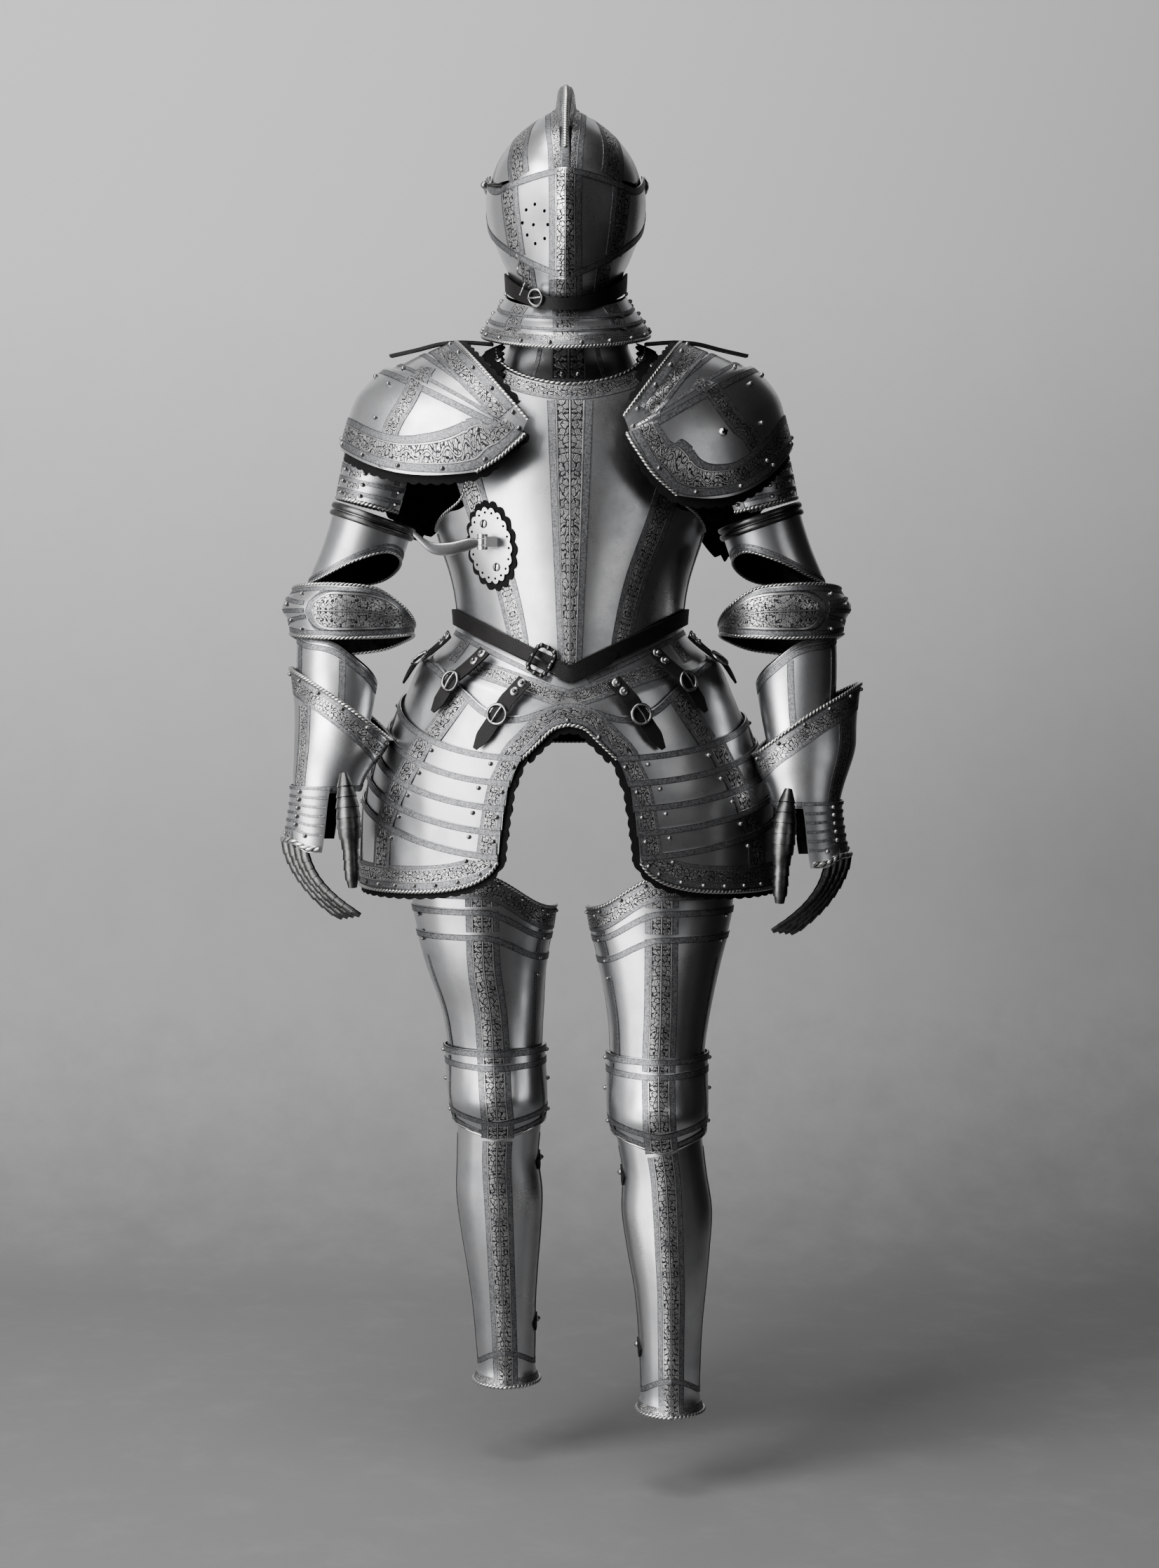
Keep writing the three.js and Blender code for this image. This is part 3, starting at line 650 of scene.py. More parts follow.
def stations(form, path, step):
    """Evenly spaced shares of a path over the form, each with the length run so far."""
    fine = 96
    points = [form(*path(k / fine)) for k in range(fine + 1)]
    run = [0.0]
    for a, b in zip(points, points[1:]):
        run.append(run[-1] + (b - a).length)
    count = max(2, round(run[-1] / step))
    shares = []
    for k in range(count + 1):
        target = run[-1] * k / count
        i = min(fine - 1, max(0, next((j for j, r in enumerate(run) if r >= target), fine) - 1))
        part = (target - run[i]) / max(1e-9, run[i + 1] - run[i])
        shares.append(((i + part) / fine, target))
    return shares


def cross_frame(form, path, t, out=0):
    """A place on a path: its point, its outward, forward and sideways directions, and the steps of
    angle and height that go one millimetre sideways."""
    near, small = 0.004, 0.05
    here = path(t)
    ahead = path(min(1, t + near))
    behind = path(max(0, t - near))
    point = form(*here, out)
    d_angle = (form(here[0] + small, here[1], out) - point) / small
    d_height = (form(here[0], here[1] + small, out) - point) / small
    forward = (form(*ahead, out) - form(*behind, out)).normalized()
    normal = d_angle.cross(d_height).normalized()
    if normal.dot(form(*here, out + 1) - point) < 0:
        normal.negate()
    side = forward.cross(normal).normalized()
    aa, ah, hh = d_angle.dot(d_angle), d_angle.dot(d_height), d_height.dot(d_height)
    sa, sh = side.dot(d_angle), side.dot(d_height)
    det = aa * hh - ah * ah or 1e-9
    return point, normal, forward, side, ((sa * hh - sh * ah) / det, (sh * aa - sa * ah) / det)


def ribbon(form, path, width, out, material, cells=4, step=6, wall="band_relief", shift=0, outline=None):
    """A strip laid on a form along a path. Its UV map holds the run and the share across, in half widths.

    shift moves the strip sideways in millimetres, and out may be a function of angle and height.
    outline(run, side) moves its long edges, for scallops."""
    wide = width if callable(width) else always(width)
    aside = shift if callable(shift) else always(shift)
    over = out if callable(out) else always(out)
    frames = [
        (path(t), cross_frame(form, path, t)[4], wide(t) / 2, aside(t), run)
        for t, run in stations(form, path, step)
    ]
    half = max(f[2] for f in frames)

    def place(across, down, lift):
        (angle, height), (per_angle, per_height), reach, moved, run = frames[round(down * (len(frames) - 1))]
        side = 2 * across - 1
        d = moved + reach * (outline(run, side) if outline else side)
        here = angle + per_angle * d, height + per_height * d
        return form(*here, over(*here) + lift)

    obj = grid("ribbon", cells, len(frames) - 1, place)
    for loop in obj.data.uv_layers.active.data:
        run = frames[round((1 - loop.uv.y) * (len(frames) - 1))][4]
        loop.uv = (run / half, 2 * loop.uv.x - 1)
    clad(obj, material)
    apply_modifier(obj, "SOLIDIFY", thickness=in_mm(wall) * MM, offset=-1)
    smooth_shading(obj)
    return obj


def strip(form, path, width, out, **settings):
    """A plain guard strip along a path."""
    return ribbon(form, path, width, out, "guard", 2, **settings)


def banded(form, path, width, out=0.5, kind="candelabra", guard=9, sides=(-1, 1), shift=0, cells=4, step=6):
    """A band of etched foliage with plain guard strips beside it."""
    wide, edge, aside = (value if callable(value) else always(value) for value in (width, guard, shift))
    made = [ribbon(form, path, width, out, kind, cells, step, shift=shift)]
    for side in sides:
        made.append(strip(form, path, guard, out, step=step,
                shift=lambda t, side=side: aside(t) + side * (wide(t) + edge(t)) / 2))
    return made


def rope(form, path, radius, out=0, pitch=5.5):
    """A roped edge: a bar along a path, filed with slanting grooves. Its UV map counts strands."""
    strands, sides = 2, 8
    radius *= bpy.context.scene.armour_sizes.rope_thickness
    over = out if callable(out) else always(out)
    frames = []
    for t, run in stations(form, path, pitch / 4):
        frame = cross_frame(form, path, t)
        frames.append(((form(*path(t), over(*path(t))), *frame[1:]), run))

    def place(across, down, lift):
        (point, normal, _, side, _), run = frames[round(down * (len(frames) - 1))]
        turn = across * 2 * math.pi
        groove = abs(math.cos((strands * turn + 2 * math.pi * run / pitch) / 2)) ** 0.6
        r = radius * (0.66 + 0.34 * groove) + lift
        return point + (normal * math.cos(turn) + side * math.sin(turn)) * r

    obj = grid("rope", sides, len(frames) - 1, place)
    for loop in obj.data.uv_layers.active.data:
        run = frames[round((1 - loop.uv.y) * (len(frames) - 1))][1]
        loop.uv = (run / pitch, loop.uv.x * strands)
    merge_doubles(obj)
    edit_whole(obj, bpy.ops.mesh.fill_holes, sides=sides + 2)
    clad(obj, "rope")
    smooth_shading(obj, 60)
    return obj


def dome(radius, height):
    """One stud head: the upper part of a ball, resting on z = 0."""
    obj = primitive(bpy.ops.mesh.primitive_uv_sphere_add, segments=10, ring_count=8, radius=1)
    edit_whole(obj, bpy.ops.mesh.bisect, plane_co=(0, 0, -0.3), plane_no=(0, 0, 1), clear_inner=True)
    for vertex in obj.data.vertices:
        vertex.co = Vector((vertex.co.x * radius, vertex.co.y * radius, vertex.co.z * height)) * MM
    bpy.ops.object.shade_smooth()
    return obj


def stand(point, normal, forward):
    """The turn and place that stands a piece on a surface: its Z along normal, its X along forward."""
    side = normal.cross(forward).normalized()
    ahead = side.cross(normal).normalized()
    turn = Matrix((ahead, side, normal)).transposed().to_4x4()
    return Matrix.Translation(point * MM) @ turn


def copies(model, places, material):
    """One joined mesh of copies of a model at places, which are (point, normal, forward)."""
    pieces = []
    for point, normal, forward in places:
        piece = model.copy()
        piece.data = model.data.copy()
        bpy.context.collection.objects.link(piece)
        piece.data.transform(stand(point, normal, forward))
        pieces.append(piece)
    bpy.data.objects.remove(model)
    obj = join("copies", pieces)
    clad(obj, material)
    return obj


def spot(form, angle, height, out=0):
    """A place on a form: point, normal and a forward direction."""
    return cross_frame(form, lambda t: (angle + t, height), 0, out)[:3]


def along(form, path, count, out=0, shift=0):
    """Evenly spaced places on a path, moved sideways by shift."""
    whole = 1e9
    length = stations(form, path, whole)[-1][1]
    over = out if callable(out) else always(out)
    places = []
    for t, _ in stations(form, path, length / max(1, count - 1)):
        (angle, height), (per_angle, per_height) = path(t), cross_frame(form, path, t)[4]
        here = angle + per_angle * shift, height + per_height * shift
        places.append(spot(form, *here, over(*here)))
    return places


def studs(places, radius, height="stud_height", material="stud"):
    """Round rivet heads at places."""
    return copies(dome(radius, in_mm(height)), places, material)


def scallops(pitch):
    """The long edges of a strip cut in round lobes."""
    return lambda run, side: side * (0.66 + 0.34 * abs(math.sin(math.pi * run / pitch)))


def slot_cut(point, normal, forward, length, wide):
    """A dark bar across a screw's head: painted shade standing for its slot."""
    thick, middle = 1.2, 2.2
    obj = primitive(bpy.ops.mesh.primitive_cube_add, size=1)
    for vertex in obj.data.vertices:
        vertex.co = Vector((vertex.co.x * length, vertex.co.y * wide, vertex.co.z * thick + middle)) * MM
    apply_modifier(obj, "BEVEL", width=0.3 * MM, segments=1)
    return copies(obj, [(point, normal, forward)], "pit")


def boss(radius):
    """A round rosette: a flat dome with a small round head in its middle."""
    return join("boss", [dome(radius, radius * 0.3), dome(radius * 0.48, radius * 0.75)])


def wire(points, radius, material):
    """A thin bent wire through a few points."""
    last = len(points) - 1
    along_x, along_y, along_z = (curve([(i / last, p[k]) for i, p in enumerate(points)]) for k in range(3))
    at = lambda t: Vector((along_x(t), along_y(t), along_z(t)))

    def place(across, down, out):
        ahead = (at(min(1, down + 0.01)) - at(max(0, down - 0.01))).normalized()
        side = ahead.cross(Vector((0, 1, 0))).normalized()
        turn = across * 360
        return at(down) + (side * cos(turn) + ahead.cross(side) * sin(turn)) * (radius + out)

    obj = grid("wire", 6, 8 * last, place)
    merge_doubles(obj)
    clad(obj, material)
    smooth_shading(obj, 60)
    return obj


def turned_bar(start, end, radius, sides):
    """A short straight bar between two points, round or with a few flat sides."""
    length = (end - start).length
    obj = primitive(bpy.ops.mesh.primitive_cylinder_add, vertices=sides,
            radius=radius * MM, depth=length * MM)
    ahead = (end - start).normalized()
    squared = Matrix.Rotation(math.pi / 4, 4, "Z") if sides == 4 else Matrix.Identity(4)
    turn = ahead.to_track_quat("Z", "Y").to_matrix().to_4x4()
    obj.data.transform(Matrix.Translation((start + end) / 2 * MM) @ turn @ squared)
    clad(obj, "steel")
    smooth_shading(obj, 30)
    return obj


def assemble(name, pieces, body, *replaces):
    """Joins the pieces of one plate, ties them to its body and hides the CAD nodes they stand for."""
    return finish(join(name, pieces), body, replaces=replaces)


# ---- finishes

MATERIALS = {}


def linear(code):
    """Scene colour from an sRGB hex value."""
    parts = [int(code[i:i + 2], 16) / 255 for i in (1, 3, 5)]
    return [c / 12.92 if c <= 0.04045 else ((c + 0.055) / 1.055) ** 2.4 for c in parts] + [1.0]


def node(tree, kind, inputs=None, **settings):
    """Adds a node with its settings, and sets or links its inputs."""
    made = tree.nodes.new("ShaderNode" + kind)
    for key, value in settings.items():
        setattr(made, key, value)
    for key, value in (inputs or {}).items():
        if isinstance(value, bpy.types.Node):
            value = value.outputs[0]
        if isinstance(value, bpy.types.NodeSocket):
            tree.links.new(value, made.inputs[key])
        else:
            made.inputs[key].default_value = value
    return made


def maths(tree, operation, *values):
    """Adds a node that works one operation on one to three values."""
    return node(tree, "Math", dict(enumerate(values)), operation=operation)


def feed(shader, socket, source, output=0):
    """Links a node to a socket of a material's shader."""
    shader.id_data.links.new(source.outputs[output], shader.inputs[socket])


def raise_by(tree, shader, height, strength, distance):
    """Gives a material the fine relief of a height pattern."""
    feed(shader, "Normal",
            node(tree, "Bump", {"Height": height, "Strength": strength, "Distance": distance}))


def blank(name, **sockets):
    """A new material with one shader, and its tree."""
    material = bpy.data.materials.new(name)
    material.use_nodes = True
    tree = material.node_tree
    tree.nodes.clear()
    shader = node(tree, "BsdfPrincipled", sockets)
    node(tree, "OutputMaterial", {"Surface": shader})
    return material, tree, shader


def ramp(tree, value, *stops):
    """A colour ramp with stops (place, colour), where a colour is an sRGB hex value or already linear."""
    made = node(tree, "ValToRGB", {"Fac": value})
    points = made.color_ramp.elements
    while len(points) < len(stops):
        points.new(0.5)
    for point, (place, colour) in zip(points, stops):
        point.position = place
        point.color = linear(colour) if isinstance(colour, str) else colour
    return made


def polished_steel(colours):
    """Forged steel plate, ground and burnished by hand: a bright satin sheen, faint hammer
    waves some 30 mm long, very fine scratches, and a few grey specks of old rust."""
    material, tree, shader = blank("polished_steel", Metallic=1.0)
    place = node(tree, "TexCoord").outputs["Object"]
    clouds = node(tree, "TexNoise", {"Vector": place, "Scale": 11.0, "Detail": 6.0, "Roughness": 0.6})
    specks = node(tree, "TexNoise", {"Vector": place, "Scale": 190.0, "Detail": 6.0, "Roughness": 0.72})
    stretched = node(tree, "Mapping", {"Vector": place, "Scale": (300.0, 300.0, 900.0)})
    scratches = node(tree, "TexNoise", {"Vector": stretched, "Scale": 1.0, "Detail": 3.0, "Roughness": 0.6})
    hammered = node(tree, "TexNoise", {"Vector": place, "Scale": 30.0, "Detail": 1.0})
    patina = ramp(tree, clouds, (0.3, colours.steel_worn), (0.5, colours.steel_plain),
            (0.75, colours.steel_bright))
    rust = ramp(tree, specks, (0.27, "#77736e"), (0.35, "#ffffff"))
    colour = node(tree, "Mix", {"Factor": 0.6, 6: patina, 7: rust}, data_type="RGBA", blend_type="MULTIPLY")
    feed(shader, "Base Color", colour, 2)
    worn = node(tree, "MapRange",
            {"Value": clouds, "From Min": 0.3, "From Max": 0.75, "To Min": 0.38, "To Max": 0.26})
    rough = node(tree, "MapRange",
            {"Value": scratches, "From Min": 0.3, "From Max": 0.7, "To Min": -0.03, "To Max": 0.04})
    total = maths(tree, "ADD", worn, rough)
    feed(shader, "Roughness", total)
    low = node(tree, "Bump", {"Height": hammered, "Strength": 0.10, "Distance": 0.003})
    fine = node(tree, "Bump", {"Height": scratches, "Strength": 0.05, "Distance": 0.0002, "Normal": low})
    feed(shader, "Normal", fine)
    return material


def plain_metal(name, light, dark, roughness):
    """A metal finish without a pattern: mottled between two colours, with a slight tooth."""
    material, tree, shader = blank(name, Metallic=1.0, Roughness=roughness)
    place = node(tree, "TexCoord").outputs["Object"]
    mottle = node(tree, "TexNoise", {"Vector": place, "Scale": 90.0, "Detail": 6.0, "Roughness": 0.65})
    colour = ramp(tree, mottle, (0.35, dark), (0.62, light))
    feed(shader, "Base Color", colour)
    raise_by(tree, shader, mottle, 0.25, 0.0004)
    return material


def etched_steel(name, pattern, ground_dark, ground_pale, leaf_dark, leaf_pale):
    """Steel etched with acid round drawn leaves: the leaves keep the polish, and the ground is
    eaten about 0.2 mm deep, blackened, and stippled with dots some 1.5 mm apart."""
    material, tree, shader = blank(name, Metallic=1.0)
    uv = node(tree, "UVMap", uv_map=UV_MAP).outputs[0]
    place = node(tree, "TexCoord").outputs["Object"]
    across = node(tree, "SeparateXYZ", {0: uv})
    side = maths(tree, "ABSOLUTE", across.outputs[1])
    leaf = pattern(tree, uv)
    inner = maths(tree, "LESS_THAN", side, 0.86)
    within = maths(tree, "MULTIPLY", leaf, inner)
    line = node(tree, "MapRange",
            {"Value": side, "From Min": 0.88, "From Max": 0.92, "To Min": 0.0, "To Max": 1.0})
    raised = maths(tree, "MAXIMUM", within, line)
    dots = node(tree, "TexVoronoi", {"Vector": place, "Scale": 620.0})
    ground = ramp(tree, dots, (0.15, ground_pale), (0.5, ground_dark))
    stain = node(tree, "TexNoise", {"Vector": place, "Scale": 60.0, "Detail": 5.0})
    bright = ramp(tree, stain, (0.3, leaf_dark), (0.7, leaf_pale))
    colour = node(tree, "Mix", {"Factor": raised, 6: ground, 7: bright}, data_type="RGBA")
    feed(shader, "Base Color", colour, 2)
    rough = node(tree, "MapRange", {"Value": raised, "To Min": 0.6, "To Max": 0.34})
    feed(shader, "Roughness", rough)
    raise_by(tree, shader, raised, 0.5, 0.0004)
    return material


def leaves(tree, spot, size, gap):
    """Rounded leaves parted by thin gaps, each cut by a line that winds out from its heart."""
    wander = node(tree, "TexNoise",
            {"Vector": spot, "Scale": size * 1.4, "Detail": 0.0}, noise_dimensions="2D")
    pull = node(tree, "VectorMath", {0: wander.outputs["Color"], 1: (0.5, 0.5, 0.5)}, operation="SUBTRACT")
    bent = node(tree, "VectorMath", {0: pull, 1: (0.3, 0.3, 0.0), 2: spot}, operation="MULTIPLY_ADD")
    cells = node(tree, "TexVoronoi", {"Vector": bent, "Scale": size, "Randomness": 0.8},
            voronoi_dimensions="2D")
    rims = node(tree, "TexVoronoi", {"Vector": bent, "Scale": size, "Randomness": 0.8},
            voronoi_dimensions="2D", feature="DISTANCE_TO_EDGE")
    body = node(tree, "MapRange",
            {"Value": rims.outputs["Distance"], "From Min": gap, "From Max": gap * 1.5})
    arm = node(tree, "VectorMath", {0: bent, 1: cells.outputs["Position"]}, operation="SUBTRACT")
    parts = node(tree, "SeparateXYZ", {0: arm})
    angle = maths(tree, "ARCTAN2", parts.outputs[1], parts.outputs[0])
    wound = maths(tree, "MULTIPLY_ADD", cells.outputs["Distance"], 13.0, angle)
    half = maths(tree, "MULTIPLY", wound, 0.5)
    wave = maths(tree, "SINE", half)
    off = maths(tree, "ABSOLUTE", wave)
    cut = node(tree, "MapRange",
            {"Value": off, "From Min": 0.16, "From Max": 0.36, "To Min": 0.1, "To Max": 1.0})
    return maths(tree, "MULTIPLY", body, cut)


def swung(tree, uv, period, reach):
    """Moves a band's pattern from side to side along its run, so that its leaves follow a wave."""
    parts = node(tree, "SeparateXYZ", {0: uv})
    phase = maths(tree, "MULTIPLY", parts.outputs[0], 2 * math.pi / period)
    wave = maths(tree, "SINE", phase)
    moved = maths(tree, "MULTIPLY_ADD", wave, reach, parts.outputs[1])
    return node(tree, "CombineXYZ", {0: parts.outputs[0], 1: moved}), moved


def folded(tree, uv):
    """Mirrors a pattern across the middle of its band."""
    parts = node(tree, "SeparateXYZ", {0: uv})
    side = maths(tree, "ABSOLUTE", parts.outputs[1])
    return node(tree, "CombineXYZ", {0: parts.outputs[0], 1: side}), side


def stalked(tree, spot, side, wide, size, gap_between):
    """Leaves on a thin stalk, which runs where side is near 0 and keeps a gap on each side."""
    off = maths(tree, "ABSOLUTE", side)
    body = node(tree, "MapRange",
            {"Value": off, "From Min": wide, "From Max": wide * 0.6, "To Min": 0.0, "To Max": 1.0})
    gap = maths(tree, "GREATER_THAN", off, wide * 1.9)
    curled = leaves(tree, spot, size, gap_between)
    cut = maths(tree, "MULTIPLY", curled, gap)
    return maths(tree, "MAXIMUM", cut, body)


def candelabra(tree, uv):
    """Leaves and buds in mirrored pairs, stacked on one stalk as on a candlestick."""
    spot, side = folded(tree, uv)
    return stalked(tree, spot, side, 0.06, 2.0, 0.075)


def running_scroll(tree, uv):
    """Leaves on a stalk that swings from side to side along a narrow band."""
    spot, side = swung(tree, uv, 3.4, 0.42)
    return stalked(tree, spot, side, 0.09, 1.5, 0.08)


def close_foliage(tree, uv):
    """Small leaves in mirrored pairs that fill a broad leaf-shaped field."""
    spot, side = folded(tree, uv)
    return stalked(tree, spot, side, 0.035, 3.5, 0.075)


def rope_steel(colours):
    """A turned-over edge filed into a rope: bright worn strands, and painted shade that darkens its grooves.
    """
    material, tree, shader = blank("filed_rope_edge", Metallic=1.0, Roughness=0.32)
    parts = node(tree, "SeparateXYZ", {0: node(tree, "UVMap", uv_map=UV_MAP).outputs[0]})
    phase = maths(tree, "ADD", parts.outputs[0], parts.outputs[1])
    turn = maths(tree, "MULTIPLY", phase, math.pi)
    wave = maths(tree, "COSINE", turn)
    groove = maths(tree, "ABSOLUTE", wave)
    # painted shade: the dark colour at the bottom of each groove stands for the shade that falls there
    colour = ramp(tree, groove, (0.12, colours.rope_groove), (0.45, colours.rope_strand))
    feed(shader, "Base Color", colour)
    raise_by(tree, shader, groove, 0.5, 0.0008)
    return material


def guard_strip():
    """A plain strip beside the foliage, etched to a grey grit about 2 mm across and left with a
    thin bright line on each edge."""
    material, tree, shader = blank("grey_etched_strip", Metallic=1.0, Roughness=0.5)
    uv = node(tree, "UVMap", uv_map=UV_MAP).outputs[0]
    parts = node(tree, "SeparateXYZ", {0: uv})
    side = maths(tree, "ABSOLUTE", parts.outputs[1])
    place = node(tree, "TexCoord").outputs["Object"]
    grit = node(tree, "TexNoise", {"Vector": place, "Scale": 420.0, "Detail": 3.0, "Roughness": 0.7})
    grey = ramp(tree, grit, (0.35, "#67686a"), (0.65, "#a4a5a6"))
    edge = ramp(tree, side, (0.74, "#ffffff"), (0.84, "#6a6a6c"), (0.93, "#dddddd"))
    colour = node(tree, "Mix", {"Factor": 0.9, 6: grey, 7: edge}, data_type="RGBA", blend_type="MULTIPLY")
    feed(shader, "Base Color", colour, 2)
    raise_by(tree, shader, grit, 0.3, 0.0003)
    return material


def leather(name, dark, light, roughness):
    """Tanned hide, dyed through: a pebbled grain about 1 mm across, scuffed paler on the high spots."""
    material, tree, shader = blank(name, Roughness=roughness)
    place = node(tree, "TexCoord").outputs["Object"]
    grain = node(tree, "TexVoronoi", {"Vector": place, "Scale": 750.0})
    scuff = node(tree, "TexNoise", {"Vector": place, "Scale": 55.0, "Detail": 7.0, "Roughness": 0.7})
    colour = ramp(tree, scuff, (0.4, dark), (0.72, light))
    feed(shader, "Base Color", colour)
    raise_by(tree, shader, grain.outputs["Distance"], 0.5, 0.0006)
    return material


def painted_backdrop():
    """A rolled matt paint with faint irregular patches, and painted shade that darkens it towards the floor.

    The sheet's unpainted back is clear, so that the armour can be seen from behind it."""
    material, tree, shader = blank("matt_backdrop_paint", Roughness=0.8)
    back = node(tree, "NewGeometry").outputs["Backfacing"]
    sheet = node(tree, "MixShader", {0: back, 1: shader, 2: node(tree, "BsdfTransparent")})
    tree.links.new(sheet.outputs[0], tree.nodes["Material Output"].inputs["Surface"])
    place = node(tree, "TexCoord").outputs["Object"]
    parts = node(tree, "SeparateXYZ", {0: place})
    # painted shade: the sheet's colour darkens with height towards the floor
    height = node(tree, "MapRange", {"Value": parts.outputs[2], "From Min": -1.15, "From Max": 0.85})
    patches = node(tree, "TexNoise", {"Vector": place, "Scale": 11.0, "Detail": 8.0, "Roughness": 0.7})
    patches_and_painted_shade = maths(tree, "MULTIPLY_ADD", patches, 0.16, height)
    colour = ramp(tree, patches_and_painted_shade, (0.1, "#868686"), (0.3, "#a4a4a4"), (0.65, "#bcbcbc"), (1.0, "#cdcdcd"))
    feed(shader, "Base Color", colour)
    return material


def make_finishes(colours):
    MATERIALS["steel"] = polished_steel(colours)
    # the near-black inner faces are partly unpolished iron and partly painted shade for the dark insides of
    # the plates
    MATERIALS["inside"] = plain_metal("forge_black_iron", "#3b3a39", "#1f1e1d", 0.72)
    MATERIALS["candelabra"] = etched_steel("etched_leaf_band", candelabra, "#2d2d30",
            "#6e6f71", "#a9aaaa", "#dcdcda")
    MATERIALS["scroll"] = etched_steel("etched_scroll_band", running_scroll, "#2f2f32",
            "#727375", "#a6a7a7", "#d8d8d6")
    MATERIALS["foliage"] = etched_steel("etched_leaf_field", close_foliage, "#2d2d30",
            "#6e6f71", "#a4a5a5", "#d6d6d4")
    MATERIALS["guard"] = guard_strip()
    MATERIALS["rope"] = rope_steel(colours)
    MATERIALS["stud"] = plain_metal("riveted_steel_stud", colours.stud_light, colours.stud_dark, 0.3)
    MATERIALS["iron"] = plain_metal("worn_iron_fitting", colours.iron_light, colours.iron_dark, 0.36)
    # near-black finish: painted shade standing for holes and slots
    MATERIALS["pit"] = plain_metal("soot_black_iron", "#171717", "#0c0c0c", 0.9)
    MATERIALS["hide"] = leather("dyed_calf_leather", colours.leather_dark, colours.leather_light, 0.6)
    MATERIALS["lining"] = leather("worn_lining_leather", colours.lining_dark, colours.lining_light, 0.85)
    MATERIALS["backdrop"] = painted_backdrop()


# ---- helmet

SKULL_TOP = DOME_Z + DOME_RISE - 0.5
COMB_HEIGHT = curve([(12, 1), (45, 7), (70, 21), (98, 34), (130, 24), (160, 9), (185, 1)])
# The comb's outline from its root on the wearer's right over the crest: side, x, share of height.
COMB_PROFILE = sections(
    ["side", "x", "high"],
    [
        [-3, -19, -0.12],
        [-2.4, -14.5, 0.04],
        [-1.8, -12.5, 0.35],
        [-1.1, -11, 0.72],
        [-0.5, -7.5, 0.95],
        [0, 0, 1],
        [0.5, 7.5, 0.95],
        [1.1, 11, 0.72],
        [1.8, 12.5, 0.35],
        [2.4, 14.5, 0.04],
        [3, 19, -0.12],
    ],
)
VISOR_TOP = curve([(-97, 606), (-84, 599), (-70, 584), (-56, 576), (0, 592), (56, 576),
        (70, 584), (84, 599), (97, 606)])
VISOR_FOOT = curve([(-97, 552), (-84, 526), (-52, 488), (-22, 461), (0, 449), (22, 461),
        (52, 488), (84, 526), (97, 552)])
BEVOR_TOP = curve([(-92, 522), (-52, 505), (0, 470), (52, 505), (92, 522)])
# Breathing holes on the wearer's right: angle and height on the visor.
BREATHS = [(-29, 540), (-22, 546), (-15, 536), (-24, 520), (-13, 518), (-33, 524),
        (-30, 508), (-16, 501), (-24, 496)]


def skull_edge(angle):
    """The skull's lower edge: high over the brow, and down to the nape behind the cheeks."""
    return mix(584, 446, smooth((turned(angle) - 68) / 20))


def skull_place(angle, share, out=0):
    eased = 1 - cos(share * 90)
    return helmet_form(angle, mix(SKULL_TOP, skull_edge(angle), eased), out)


def comb_form(side, turn, out=0):
    high = COMB_HEIGHT(turn)
    fat = mix(0.5, 1, high / 34)
    s = COMB_PROFILE(side)
    lift = max(-3, s["high"] * high) + out * (1 - abs(side) / 3)
    reach = 124 if turn < 90 else 126
    return Vector((
        HEAD_X + s["x"] * fat + out * side / 3,
        6 - cos(turn) * (reach + lift),
        DOME_Z + sin(turn) * (DOME_RISE + lift),
    ))


def build_skull():
    shell = plate(skull_place, *ALL_ROUND, always(0), always(1), 96, 44, closed=True)
    comb_place = lambda across, down, out: comb_form(mix(-3, 3, across), mix(8, 185, down), out)
    comb = grid("comb", 32, 96, comb_place)
    clad(comb, "guard")
    smooth_shading(comb, 50)
    crest = rope(comb_form, lambda t: (0, mix(24, 180, t)), 4.6, -2.4, pitch=4.4)
    pieces = [shell, comb, crest]
    for side in (-1, 1):
        flank = lambda t: COMB_HEIGHT(mix(40, 165, t)) * 0.4 + 4
        pieces.append(ribbon(comb_form, lambda t, s=side: (s * 1.55, mix(40, 165, t)), flank, 0.6, "scroll"))
        foot = on_side(side, (4.6, 586), (6.5, 625), (11, 652), (16, 668), (27, 680), (44, 685))
        pieces.append(ribbon(helmet_form, foot, 12, 0.8, "scroll", step=4))
        pieces.append(strip(helmet_form, foot, 7, 0.8, shift=side * 10))
        over = on_side(side, (37, 586), (42, 612), (49, 637), (60, 655), (76, 665), (90, 668))
        back = on_side(side, (90, 668), (104, 665), (120, 655), (131, 637), (138, 600), (140, 468))
        for path in (over, back):
            pieces += banded(helmet_form, path, 21, 0.6, "scroll", guard=8)
        pieces.append(strip(helmet_form, on_side(side, (66, 586), (72, 560), (79, 520)), 6, 0.8))
    pieces.append(rope(helmet_form, edge_path(always(448), 92, 268), 2.4, 0))
    pieces += banded(helmet_form, edge_path(always(462), 94, 266), 13, guard=5, kind="scroll")
    assemble("helmet_skull_dressed", pieces, SUIT, "helmet_skull")


def ring_of(thick, radius, point, normal, forward, material, segments=20):
    """A plain wire ring lying on a surface."""
    obj = primitive(bpy.ops.mesh.primitive_torus_add, major_radius=radius * MM, minor_radius=thick * MM,
            major_segments=segments, minor_segments=6)
    obj.data.transform(stand(point, normal, forward))
    bpy.ops.object.shade_smooth()
    clad(obj, material)
    return obj


def rosette(radius, height, petals=8):
    """A flower-shaped washer with a domed head in its middle."""
    obj = primitive(bpy.ops.mesh.primitive_uv_sphere_add, segments=petals * 4, ring_count=10, radius=1)
    edit_whole(obj, bpy.ops.mesh.bisect, plane_co=(0, 0, -0.2), plane_no=(0, 0, 1), clear_inner=True)
    for vertex in obj.data.vertices:
        x, y, z = vertex.co
        away = math.hypot(x, y)
        petal = 0.86 + 0.14 * abs(math.cos(math.atan2(y, x) * petals / 2))
        swell = 1 if away < 0.45 else 0.55 + 0.25 * math.sin((away - 0.45) * 8)
        vertex.co = Vector((x * radius * petal, y * radius * petal, z * height * swell)) * MM
    bpy.ops.object.shade_smooth()
    return obj


